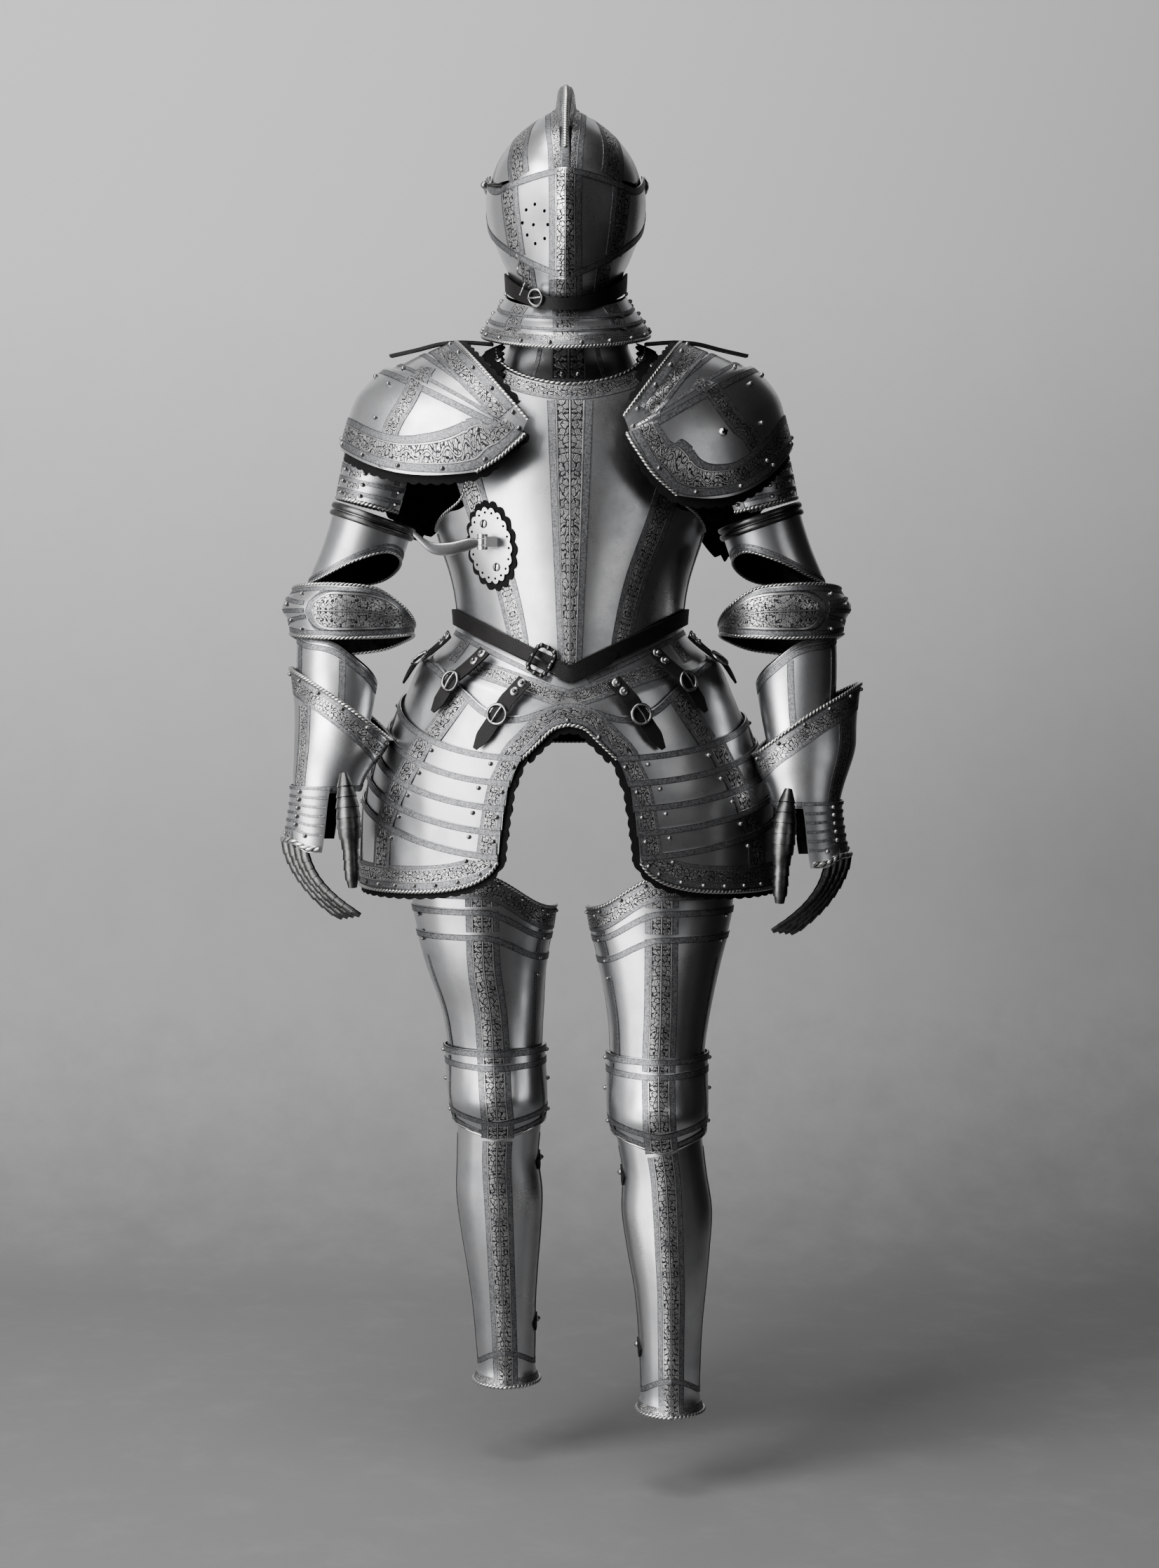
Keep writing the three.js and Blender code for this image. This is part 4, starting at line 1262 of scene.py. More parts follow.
def build_visor():
    shell = plate(visor_form, always(-97), always(97), VISOR_TOP, VISOR_FOOT, 96, 40)
    pieces = [shell]
    pieces += banded(visor_form, upright(0, 590, 451), 26, 0.7, guard=9, cells=8)
    for side in (-1, 1):
        path = on_side(side, (45, 574), (44, 530), (44, 484))
        pieces.append(ribbon(visor_form, path, 22, 0.6, "scroll"))
        pieces.append(strip(visor_form, path, 8, 0.6, shift=side * 15))
        pieces.append(strip(visor_form, path, 3, 0.6, shift=side * -12.5))
        pieces.append(strip(visor_form, edge_path(VISOR_TOP, side * 6, side * 96, -5), 9, 0.9))
        pieces.append(strip(visor_form, edge_path(VISOR_FOOT, side * 6, side * 96, 5), 9, 0.9))
        pivot = [spot(visor_form, side * 90, 590, 0.5)]
        pieces.append(copies(rosette(12, 5), pivot, "stud"))
    # dark discs: painted shade standing for the breathing holes, which are not cut
    pieces.append(copies(dome(2.4, 0.5), [spot(visor_form, a, z, 0.1) for a, z in BREATHS], "pit"))
    assemble("visor_dressed", pieces, VISOR, "helmet_visor")


def build_peg():
    """The peg that lifts the visor: a rod that leans forwards, with a ball on its end."""
    place, lean, upward = Vector((-98, -98, 574)), Vector((-cos(18), -sin(18), 0)), Vector((0, 0, 1))
    rod = primitive(bpy.ops.mesh.primitive_cylinder_add, vertices=16, radius=3.2 * MM, depth=24 * MM)
    apply_modifier(rod, "BEVEL", width=0.5 * MM, segments=2)
    rod.data.transform(stand(place, lean, upward))
    clad(rod, "stud")
    smooth_shading(rod)
    ball = primitive(bpy.ops.mesh.primitive_uv_sphere_add, segments=16, ring_count=10, radius=5 * MM)
    ball.data.transform(stand(place + lean * 11, lean, upward))
    clad(ball, "stud")
    bpy.ops.object.shade_smooth()
    assemble("visor_peg", [rod, ball], VISOR, "helmet_peg")


def build_bevor():
    shell = plate(bevor_form, always(-92), always(92), BEVOR_TOP, tipped(451, 27), 56, 16, wall=LAME)
    pieces = [shell] + banded(bevor_form, upright(0, 468, 425), 26, 0.7, guard=9, cells=8)
    for side in (-1, 1):
        pieces.append(ribbon(bevor_form, upright(side * 44, 502, 442), 22, 0.6, "scroll"))
        pieces.append(strip(bevor_form, upright(side * 44, 502, 442), 8, 0.6, shift=side * 15))
    assemble("bevor_dressed", pieces, SUIT, "helmet_bevor")


def build_neck_strap():
    shell = plate(neck_strap_form, *ALL_ROUND, tipped(474, 46), tipped(451, 38), 72, 3, wall=3, closed=True,
            materials=("hide", "hide"))
    assemble("neck_strap_leather", [shell], SUIT, "neck_strap")
    point, normal, forward = spot(neck_strap_form, -28, 430, 3)
    buckle = ring_of(1.8, 10.5, point, normal, forward, "stud")
    tongue = wire([point + normal * 2 - forward * 11, point + normal * 3, point + normal * 2 + forward * 10],
            1.2, "stud")
    finish(join("neck_strap_buckle", [buckle, tongue]), SUIT)
    eye = spot(bevor_form, -41, 488, 2)
    hook = [ring_of(1.6, 5, *eye, "iron", 16)]
    drop = [(-8, -1, 0), (-4, -4, -12), (-6, -6, -26), (4, -4, -34), (1, -5, -46), (-3, -7, -56)]
    hook.append(wire([eye[0] + Vector(step) for step in drop], 1.1, "stud"))
    finish(join("bevor_hook", hook), SUIT)


# ---- collar and body

COLLAR_EDGES = [445, 428, 412, 391]


def build_collar():
    for i, foot in enumerate(COLLAR_EDGES[1:]):
        lift = -i * (in_mm(LAME) + 0.8)
        last = i == 2
        top = tipped(COLLAR_EDGES[i] + (4 if i else 0), 28)
        bottom = tipped(foot, 28)
        pieces = [plate(collar_form, *ALL_ROUND, top, bottom, 96, 5, wall=LAME,
                lift=always(lift), closed=True)]
        for angle, width in ((0, 26), (-38, 18), (38, 18), (180, 26), (-142, 18), (142, 18)):
            path = upright(angle, tipped(COLLAR_EDGES[i] - 1, 28)(angle),
                    bottom(angle) + (14 if last else 1))
            pieces += banded(collar_form, path, width, lift + 0.6, "scroll", guard=4, step=4)
        if last:
            pieces.append(strip(collar_form, edge_path(bottom, 0, 360, 5), 8, lift + 0.8, step=5))
            pieces.append(ribbon(collar_form, edge_path(bottom, 0, 360, 11.5), 10,
                    lift + 0.8, "scroll", 3, 5))
            pieces.append(rope(collar_form, edge_path(bottom, 0, 360), 2.7, lift - 0.5, pitch=5))
            pieces.append(studs(along(collar_form, edge_path(bottom, -86, 86, 5.5), 10, lift + 1), 3.2))
        else:
            pieces.append(strip(collar_form, edge_path(bottom, 0, 360, 3), 5, lift + 0.8, step=5))
        sides = [spot(collar_form, a, bottom(a) + rise, lift + 0.5) for a in (-84, 84) for rise in (9, 19)]
        pieces.append(studs(sides, 3.2))
        assemble(f"collar_{i + 1}_dressed", pieces, SUIT, f"collar_lame_{i + 1}")


def build_gorget():
    shell = plate(gorget_form, *ALL_ROUND, always(402), always(318), 72, 12, closed=True)
    pieces = [shell, ribbon(gorget_form, upright(0, 372, 322), 46, 0.6, "candelabra", 8)]
    for angle in (-27, 27):
        pieces.append(strip(gorget_form, upright(angle, 372, 322), 6, 0.6))
    pieces.append(strip(gorget_form, edge_path(always(324), 0, 360), 7, 0.8))
    pieces.append(studs([spot(gorget_form, a, 334, 1) for a in (-5, 7)], 3.2))
    assemble("gorget_dressed", pieces, SUIT, "gorget")


ARMHOLE = curve([(130, 88), (148, 70), (170, 51), (200, 43), (250, 41), (310, 46), (370, 58)])
BACK_ARMHOLE = curve([(130, 84), (150, 100), (175, 122), (210, 134), (300, 136), (385, 128)])


def neckline(angle):
    return mix(318, 368, clamp01(abs(angle) / 58) ** 1.7)


STRAP_HEIGHT = curve([(100, 378), (140, 381), (170, 379), (200, 372), (238, 364)])


def build_breastplate():
    side_at = lambda v: ARMHOLE(mix(368, 6, v))
    shell = plate(torso_form, lambda v: -side_at(v), side_at, neckline, lambda a: waist(a) + 1, 64, 96)
    pieces = [shell, rope(torso_form, edge_path(neckline, -58, 58), 3.2, 0.5, pitch=7)]
    pieces.append(ribbon(torso_form, edge_path(neckline, -56, 56), 16, 0.6, "scroll", shift=12))
    pieces.append(strip(torso_form, edge_path(neckline, -56, 56), 4, 0.7, shift=22))
    centre = through((0, 296), (0, 170), (0, 60), (0, -60))
    pieces += banded(torso_form, centre, lambda t: mix(38, 15, t), 0.9, cells=8,
            guard=lambda t: mix(11, 7, t))
    for side in (-1, 1):
        path = on_side(side, (47, 225), (42, 172), (34, 80), (27, -6), (25, -26))
        pieces += banded(torso_form, path, lambda t: mix(26, 13, t), 0.7, guard=lambda t: mix(8, 6, t))
        edge = on_side(side, (43.5, 215), (49, 172), (66, 150), (84, 131))
        pieces.append(rope(torso_form, edge, 2.4, 0.3))
        low = on_side(side, (84, 127), (86, 60), (86, 10))
        pieces += banded(torso_form, low, 12, 0.7, "scroll", guard=4)
    assemble("breastplate_dressed", pieces, SUIT, "breastplate")


def build_backplate():
    side_at = lambda v: BACK_ARMHOLE(mix(375, 6, v))
    shell = plate(torso_form, side_at, lambda v: 360 - side_at(v), always(376), always(8),
            64, 60, lift=always(-5))
    pieces = [shell, rope(torso_form, edge_path(always(376), 130, 230), 2.4, -5)]
    pieces += banded(torso_form, upright(180, 368, 12), lambda t: mix(40, 18, t), -4.4, cells=8)
    for side in (-1, 1):
        path = through((180 + side * 38, 368), (180 + side * 36, 250),
                (180 + side * 30, 120), (180 + side * 22, 12))
        pieces += banded(torso_form, path, lambda t: mix(26, 14, t), -4.4)
    pieces.append(ribbon(torso_form, edge_path(always(364), 132, 228), 15, -4.4, "scroll"))
    assemble("backplate_dressed", pieces, SUIT, "backplate")


def build_neck_fastenings():
    """Scalloped leather and rosettes at both ends of the neckline, and the straps of the shoulders."""
    for name, side in DIR.items():
        path = on_side(side, (41, 322), (47, 340), (55, 356), (64, 372))
        hide = ribbon(torso_form, path, 40, 4, "lining", 6, 2.5, wall=2, outline=scallops(13))
        finish(join(f"neck_leather_{name}", [hide]), SUIT)
        places = [spot(torso_form, side * a, z, 4.2) for a, z in ((46, 354), (52, 344))]
        finish(copies(boss(6.5), places, "stud"), SUIT).name = f"neck_rosettes_{name}"

        level = lambda run, across, out=0, side=side: Vector((side * run, across, STRAP_HEIGHT(run) + out))
        strap = ribbon(level, through((100, -30), (150, -24), (200, -16), (236, -10)), 16,
                0, "hide", 3, 5, wall=4)
        finish(join(f"shoulder_strap_{name}", [strap]), SUIT)


def build_belt():
    foot = 2
    top = foot + in_mm("belt_width")
    shell = plate(torso_form, *ALL_ROUND, lambda a: waist(a) + top, lambda a: waist(a) + foot, 96, 4,
            wall="belt_wall", lift=always(6.6), closed=True, materials=("hide", "hide"))
    pointed = lambda t: 18 * min(1, 0.3 + 5 * (1 - t))
    tail = ribbon(torso_form, edge_path(lambda a: waist(a) + 9, -6, 22), pointed, 9.2, "hide", wall=2.4)
    assemble("belt_leather", [shell, tail], SUIT, "waist_belt")
    middle = spot(torso_form, -13, -38, 12)[0]
    along_belt, across_belt = Vector((cos(30), 0, -sin(30))), Vector((sin(30), 0, cos(30)))

    def corner(turn):
        """A point of the buckle's frame, which is a square with round corners."""
        run, up = (math.copysign(math.sqrt(abs(part)), part) for part in (cos(turn), sin(turn)))
        return middle + along_belt * 13 * run + across_belt * 18 * up

    outer = [corner(k * 15) for k in range(25)]
    pieces = [wire(outer, 2.6, "iron"),
            wire([corner(180), middle - Vector((0, 3, 0)), corner(0)], 1.6, "iron")]
    beads = [(corner(k * 30), Vector((0, -1, 0)), across_belt) for k in range(12)]
    pieces.append(studs(beads, 3.6, 4, "iron"))
    finish(join("belt_buckle", pieces), SUIT)


# ---- lance rest

REST_PLATE = {"x": -98, "z": 109, "tall": 50, "wide": 27, "tilt": -9}


def rest_form(turn, share, out=0):
    """Round the lance rest's plate: turn in degrees, share of its reach."""
    reach = share * (0.91 + 0.09 * abs(math.cos(turn * 9 * DEG)))
    x = REST_PLATE["wide"] * sin(turn) * reach
    z = REST_PLATE["tall"] * cos(turn) * reach
    lean = REST_PLATE["tilt"]
    height = REST_PLATE["z"] - x * sin(lean) + z * cos(lean)
    across = REST_PLATE["x"] + x * cos(lean) + z * sin(lean)
    angle = math.asin((across - 2) / torso_at(height)["left"]) / DEG
    return torso_form(angle, height, out)


def build_lance_rest():
    shell = plate(rest_form, *ALL_ROUND, always(0.02), always(1), 180, 10, wall=2.4,
            lift=always(5), closed=True)
    # dark dots: painted shade standing for the holes round the plate, which are not cut
    holes = copies(dome(1.7, 0.4), [spot(rest_form, a * 20, 0.86, 5.1) for a in range(18)], "pit")
    bolts = [spot(rest_form, -14, 0.62, 5), spot(rest_form, 166, 0.62, 5)]
    heads = studs(bolts, 6, 2.4, "steel")
    slots = [slot_cut(*bolt[:2], Vector((0.25, 0, 1)), 9.5, 2) for bolt in bolts]
    block = turned_bar(Vector((-106, -130, 113)), Vector((-91, -130, 113)), 9.5, 4)
    ends = [turned_bar(Vector((-110, -130, z)), Vector((-110, -130, z + 5.4)), 7, 20) for z in (103, 117.6)]
    pad = plate(rest_form, *ALL_ROUND, always(0.3), always(1.19), 180, 6, wall=1.6, lift=always(2.4),
            closed=True, materials=("lining", "lining"))
    assemble("lance_rest_plate_dressed", [shell, holes, heads, *slots, block, *ends],
            SUIT, "lance_rest_plate")
    finish(join("lance_rest_lining", [pad]), SUIT)

    hinge = Vector((-110, -130, 110))
    at = sections(
        ["s", "x", "y", "z", "high", "thick"],
        [
            [0, 0, 0, 3, 4, 8],
            [1, -18, -3, 0, 8, 7],
            [2, -42, -6, -6, 8.5, 7],
            [3, -66, -8, -4, 7, 6],
            [4, -88, -9, 14, 4, 4],
        ],
    )

    def place(across, down, out):
        s = at(down * 4)
        t = across * 2 * math.pi
        return hinge + Vector((
            s["x"],
            s["y"] + (s["thick"] / 2 + out) * math.sin(t),
            s["z"] + (s["high"] + out) * math.cos(t),
        ))

    arm = grid("arm", 20, 32, place)
    merge_doubles(arm)
    edit_whole(arm, bpy.ops.mesh.fill_holes, sides=24)
    clad(arm, "steel")
    smooth_shading(arm, 60)
    barrel = turned_bar(Vector((-110, -130, 109.2)), Vector((-110, -130, 116.8)), 7, 20)
    assemble("lance_rest_arm_dressed", [arm, barrel], REST, "lance_rest_arm")


# ---- skirt and tassets

TASSET_BACK = 98
LAME_LIFT = 2.4
HOOP = curve([(0, -86), (7, -97), (18, -109), (28, -101), (40, -75), (60, -45), (TASSET_BACK, -25)])
ARCH = curve([(0, -119), (5, -125), (9, -141), (14, -163)])
ARCH_END = 14
LAME_HEIGHTS = [-158, -190, -222, -253, -284]
RISE = {"r": 74, "l": 50}
INNER_EDGE = curve([(-284, 19), (-222, 17.6), (-190, 16.6), (-158, 14)])
OUTER_LEAF = curve([(-290, 61), (-231, 56), (-190, 52.5), (-158, 50), (-125, 48), (-80, 40)])
TASSET_FOOT = curve([(18, -286), (21.5, -308), (28, -324), (39, -333), (60, -336), (TASSET_BACK, -332)])


def lame_edge(i, rise):
    return lambda angle: LAME_HEIGHTS[i] + rise * smooth((abs(angle) - 14) / 95) * 1.05


def lapping_foot(i, rise):
    """The foot of the plate above a lame, which laps over that lame's top."""
    return lambda angle: lame_edge(i, rise)(angle) - 8


def hoop_foot(angle):
    if abs(angle) < ARCH_END:
        return ARCH(abs(angle))
    return lapping_foot(0, RISE["r" if angle < 0 else "l"])(angle)


def half_arch(side, end):
    """A path down one side of the skirt's arch, from its crown."""
    return lambda t: (side * mix(0, end, t), ARCH(mix(0, end, t)))


def scalloped_lining(inner, top, foot, way, base):
    """The leather that shows past the inner edge of one plate, cut in scallops."""

    def path(t):
        angle = inner(t)
        return angle - way * 0.6, mix(top(abs(angle)), foot(abs(angle)), t)

    return ribbon(skirt_form, path, 13, base - 3, "lining", 2, 2.5, wall=1.6, outline=scallops(15))


def build_hoops():
    ends = always(-TASSET_BACK), always(TASSET_BACK)
    foot = lambda a: HOOP(abs(a)) - 8 * smooth((abs(a) - 4) / 10)
    pieces = [plate(skirt_form, *ends, waist, foot, 96, 24, wall=LAME)]
    for side in (-1, 1):
        path = edge_path(waist, side * 8, side * 96, -8)
        pieces.append(strip(skirt_form, path, 7, 0.6))
        swag = on_side(side, (0.2, -87), (8, -80), (17, -70), (30, -57), (43, -47))
        pieces += banded(skirt_form, swag, 14, 0.8, "scroll", guard=5)
        pieces += banded(skirt_form, on_side(side, (60, -14), (58, -40)), 14, 0.8, "scroll", guard=4)
    assemble("skirt_top_hoop_dressed", pieces, SUIT, "skirt_hoop_1")

    lift = lambda a, v: LAME_LIFT * 2.3 + LAME_LIFT * (1 - v) * 0.6
    pieces = [plate(skirt_form, *ends, lambda a: HOOP(abs(a)) + 1, hoop_foot, 140, 20, wall=LAME, lift=lift)]
    for name, side in DIR.items():
        edge = lambda a: HOOP(abs(a))
        pieces.append(strip(skirt_form, edge_path(edge, side * 3, side * 96, -5), 8, 7.3))
        pieces.append(rope(skirt_form, half_arch(side, ARCH_END), 2.8, 6.4))
        a, b = OUTER_LEAF(-70), OUTER_LEAF(-125)
        slant = through((side * a, HOOP(a) - 9), (side * b, lame_edge(0, RISE[name])(b) - 2))
        pieces += banded(skirt_form, slant, 20, 7.4, "scroll", guard=5)
        pieces.append(ribbon(skirt_form, half_arch(side, 13.6), 15, 2.2, "lining", 2, 2.5, wall=1.6,
                shift=side * 4, outline=scallops(15)))

    def whole_arch(t):
        angle = mix(-15.4, 15.4, t)
        return angle, ARCH(abs(angle)) - 9 * max(0, abs(angle) - ARCH_END)

    pieces += banded(skirt_form, whole_arch, 15, 7.6, "scroll", guard=5, shift=-15.5, step=4)
    pieces.append(studs([spot(skirt_form, a, ARCH(abs(a)) + 6, 7.4) for a in (-9, -0.5, 9)], 3))
    assemble("skirt_low_hoop_dressed", pieces, SUIT, "skirt_hoop_2")


def build_tassets():
    for name, way in DIR.items():
        rise = RISE[name]
        for i, height in enumerate(LAME_HEIGHTS):
            last = i == len(LAME_HEIGHTS) - 1
            foot = (lambda a: TASSET_FOOT(abs(a))) if last else lapping_foot(i + 1, rise)
            low = -290 if last else LAME_HEIGHTS[i + 1]
            inner = lambda v, h=height, b=low: way * INNER_EDGE(mix(h, b, v))
            base = LAME_LIFT * 3.8 + i * 1.2
            top = lame_edge(i, rise)
            pieces = [plate(skirt_form, inner, always(way * TASSET_BACK), top, foot, 64, 12 if last else 8,
                    wall=LAME, lift=lapped(base, LAME_LIFT))]

            def lane(angle_at, aside, top=top, foot=foot, height=height, low=low, last=last):
                """A path down this plate at an angle that follows a curve, from its guard to its foot."""
                a, b = angle_at(height) + aside, angle_at(low - (6 if last else 0)) + aside
                return through((way * a, top(a) - 7), (way * b, foot(b) + (30 if last else 3)))

            pieces += banded(skirt_form, lane(INNER_EDGE, 3.6), 15, base + 2, "scroll",
                    guard=4, sides=(-way,), step=4)
            pieces.append(strip(skirt_form, lane(INNER_EDGE, 0.9), 5, base + 2, step=4))
            pieces += banded(skirt_form, lane(OUTER_LEAF, 0), 22, base + 2.2, "scroll", guard=5, step=4)
            pieces.append(strip(skirt_form, lane(always(80), 0), 7, base + 2.2))
            first = INNER_EDGE(height)
            pieces.append(strip(skirt_form, edge_path(top, way * first, way * 97, -4), 8, base + 2.8))
            places = [(first + 2, 15), (first + 9, 13), (OUTER_LEAF(height) - 5, 15), (90, 12)]
            pieces.append(studs([spot(skirt_form, way * a, top(a) - drop, base + 2) for a, drop in places],
                    3.1))
            pieces.append(scalloped_lining(inner, top, foot, way, base))
            if last:
                rim = lambda q: TASSET_FOOT(abs(q))
                pieces.append(rope(skirt_form, edge_path(rim, way * 19, way * 97), 2.9, base))
                pieces.append(strip(skirt_form, edge_path(rim, way * 20, way * 96, 7.5), 9, base + 1.6))
                pieces.append(ribbon(skirt_form, edge_path(rim, way * 21, way * 96, 20),
                        16, base + 1.8, "scroll"))
                pieces.append(strip(skirt_form, edge_path(rim, way * 23, way * 96, 31), 5, base + 1.8))
                places = along(skirt_form, edge_path(rim, way * 24, way * 92, 7.5), 9, base + 1.8)
                pieces.append(studs(places, 3))
                pieces.append(ribbon(skirt_form, edge_path(rim, way * 18, way * 96, -3), 14, base - 3,
                        "lining", 2, 2.5, wall=1.6, outline=scallops(17)))
            assemble(f"tasset_{name}_{i + 1}_dressed", pieces, SUIT, f"tasset_{name}_{i + 1}")


def build_rump_guard():
    foot = lambda a: -128 - 26 * max(0, -cos(a))
    shares = [0, 0.36, 0.68, 1]
    pieces = []
    for top, low in shared_out(always(5), foot, shares):
        pieces.append(plate(skirt_form, always(102), always(258), top, low, 72, 8, lift=lapped()))
        pieces.append(strip(skirt_form, edge_path(top, 104, 256, -6), 7, 2.2))
        pieces += banded(skirt_form, upright(180, top(180) - 2, low(180) + 2), 24, 2.2, guard=5)
    pieces.append(rope(skirt_form, edge_path(foot, 103, 257), 2.6, 0.3))
    assemble("rump_guard_dressed", pieces, SUIT, "rump_guard")


STRAPS = [((17, -62), (28, -150)), ((39, -25), (48, -104)), ((68, -4), (82, -68))]


def build_hanging_straps():
    """The straps that hold the tassets: leather with a pointed end, a ring buckle and two rosettes."""
    broad = in_mm("strap_width")
    pointed = lambda t: broad * min(1, 0.3 + 4 * (1 - t))
    for name, way in DIR.items():
        for i, (start, end) in enumerate(STRAPS):
            path = through((way * start[0], start[1]), (way * end[0], end[1]))
            strap = ribbon(skirt_form, path, pointed, 19, "hide", 4, 4, wall="strap_wall")
            assemble(f"hanging_strap_{name}_{i + 1}", [strap], SUIT, f"tasset_strap_{name}_{i + 1}")
            point, normal, forward = cross_frame(skirt_form, path, 0.5, 20)[:3]
            fittings = [ring_of(2.2, 12.5, point, normal, forward, "stud", 24)]
            low, reach = point + normal * 2, forward * 12
            fittings.append(wire([low + reach, point + normal * 3.5, low - reach], 1.3, "stud"))
            pair = [cross_frame(skirt_form, path, t, 19)[:3] for t in (0.05, 0.17)]
            fittings.append(copies(boss(6.5), pair, "stud"))
            finish(join(f"hanging_buckle_{name}_{i + 1}", fittings), SUIT)


# ---- shoulders and arms

COUTER_TOP = curve([(-180, 36), (-135, 48), (-90, 55), (-45, 60), (0, 60), (30, 54), (60, 30), (90, 8),
        (120, 4), (150, 18), (180, 36)])
COUTER_FOOT = curve([(-180, -32), (-135, -20), (-90, -5), (-45, -8), (0, -10), (45, -8), (75, -5), (90, -6),
        (120, -14), (150, -26), (180, -32)])
CANNON_FOOT = curve([(-180, 60), (-90, 58), (-45, 68), (0, 92), (40, 103), (90, 88), (140, 66), (180, 60)])
FOREARM_TOP = curve([(-180, -20), (-90, 0), (-45, -8), (0, -16), (45, -46), (90, -68),
        (140, -46), (180, -20)])
SHOULDER_SHARES = [0, 0.36, 0.7, 1]
LAME_ROWS = 2.9  # rows of the shoulder's form that its upper lames cover
MAIN_LIFT = 5.5  # how far the main shoulder plate stands out of the form
SHOULDER_LEAF = {
    "r": through((34, 1.6), (42, 3), (45, 3.8), (43, 4.6), (43, 5.3), (44, 6)),
    "l": through((50, 1.9), (50, 3.3), (47, 4.1), (42, 4.5), (38, 5.2), (36, 6)),
}
SHOULDER_BOLT = {"r": (74, 3.9), "l": (54, 4.2)}
SHOULDER_RIVETS = [(24, 2.4), (30, 3.4), (34, 4.4), (36, 5.4), (12, 3.3), (-10, 3.3), (4, 5.5), (-40, 5.4)]
ARM_FLARE = {"r": 0, "l": 18}
ARM_DROP = {"r": 0, "l": 20}


def shoulder_lift(row):
    """How far the plates on top of the shoulder stand out of its form."""
    if row > LAME_ROWS - 0.05:
        return MAIN_LIFT
    share = max(0, row) / LAME_ROWS
    k = max(i for i in range(3) if SHOULDER_SHARES[i] <= share)
    return LAP_LIFT * (SHOULDER_SHARES[k + 1] - share) / (SHOULDER_SHARES[k + 1] - SHOULDER_SHARES[k])


def beyond(form, first, last):
    """A form carried on straight past its first and last rows."""

    def longer(turn, row, out=0):
        edge, step = (first, 0.4) if row < first else (last, -0.4)
        if first <= row <= last:
            return form(turn, row, out)
        rim = form(turn, edge, out)
        return rim + (rim - form(turn, edge + step, out)) * ((edge - row) / step)

    return longer


def build_shoulder(name):
    form = pauldron_form(name)
    inward = -DIR[name]
    pieces = []
    for k in range(3):
        top, low = LAME_ROWS * SHOULDER_SHARES[k], LAME_ROWS * SHOULDER_SHARES[k + 1]
        pieces.append(plate(form, always(-80), always(87), always(top), always(low), 72, 8, lift=lapped()))
    pieces.append(rope(form, lambda t: (mix(-80, 87, t), 0), 2.8, 1))
    assemble(f"shoulder_lames_{name}_dressed", pieces, SUIT, f"pauldron_upper_{name}")

    pieces = [plate(form, lambda v: -mix(80, 60, v), lambda v: mix(88, 80, v**2), always(2.8), always(6), 96,
            48, lift=always(MAIN_LIFT))]
    pieces.append(rope(form, lambda t: (mix(80, -60, t), 6), 3, 5))
    pieces.append(rope(form, lambda t: (mix(88, 80, t**2), mix(2.8, 6, t)), 3, 5))
    assemble(f"shoulder_plate_{name}_dressed", pieces, SUIT, f"pauldron_{name}")

    over = lambda extra: (lambda _, row: shoulder_lift(row) + extra)
    longer = beyond(form, 0, 6)
    rim = through((-72, 0), (-30, 0), (0, 0), (30, 0), (58, 0), (78, 0))
    low = through((87.6, 2.4), (86.8, 3.8), (84, 5.2), (80, 6), (60, 6), (30, 6), (-10, 6), (-56, 6))
    pieces = []
    for k in (1, 2, 3):
        path = lambda t, row=LAME_ROWS * SHOULDER_SHARES[k]: (mix(-76, 78, t), row)
        pieces.append(strip(form, path, 7, over(0.5), shift=inward * 5))
    back = through((-30, 0.8), (-32, 2), (-32, 3.6), (-30, 5.4))
    for path in (SHOULDER_LEAF[name], back):
        pieces += banded(form, path, 17, over(0.9), "scroll", guard=5, step=4)
    for path, extra in ((rim, 1.1), (low, 1.4)):
        pieces.append(ribbon(longer, path, 11, over(extra), "guard", 3, 4, shift=inward * 8.3))
        pieces.append(ribbon(longer, path, 18, over(extra), "scroll", 5, 4, shift=inward * 22.5))
        pieces.append(strip(longer, path, 6, over(extra), step=4, shift=inward * 34.5))
    places = along(longer, through((-40, 0), (0, 0), (40, 0), (80, 0)), 9, over(1.6), shift=inward * 8.3)
    places += along(longer, low, 10, over(1.9), shift=inward * 8.3)
    places += [spot(form, a, r, over(1)(a, r)) for a, r in SHOULDER_RIVETS]
    pieces.append(studs(places, 3.3))
    bolt = spot(form, *SHOULDER_BOLT[name], 6)
    pieces.append(studs([bolt], 6 if name == "l" else 3.6, 5.5, "steel"))
    if name == "l":
        raised = bolt[0] + bolt[1] * 3.2
        crossed = bolt[2], bolt[1].cross(bolt[2])
        pieces += [slot_cut(raised, bolt[1], forward, 9, 2) for forward in crossed]
    assemble(f"shoulder_bands_{name}", pieces, SUIT)

    pieces = []
    for path in (rim, low):
        pieces.append(ribbon(longer, path, 19, always(-2.5), "lining", 2, 2.5, wall=1.6,
                shift=-inward, outline=scallops(16)))
    finish(join(f"shoulder_lining_{name}", pieces), SUIT)


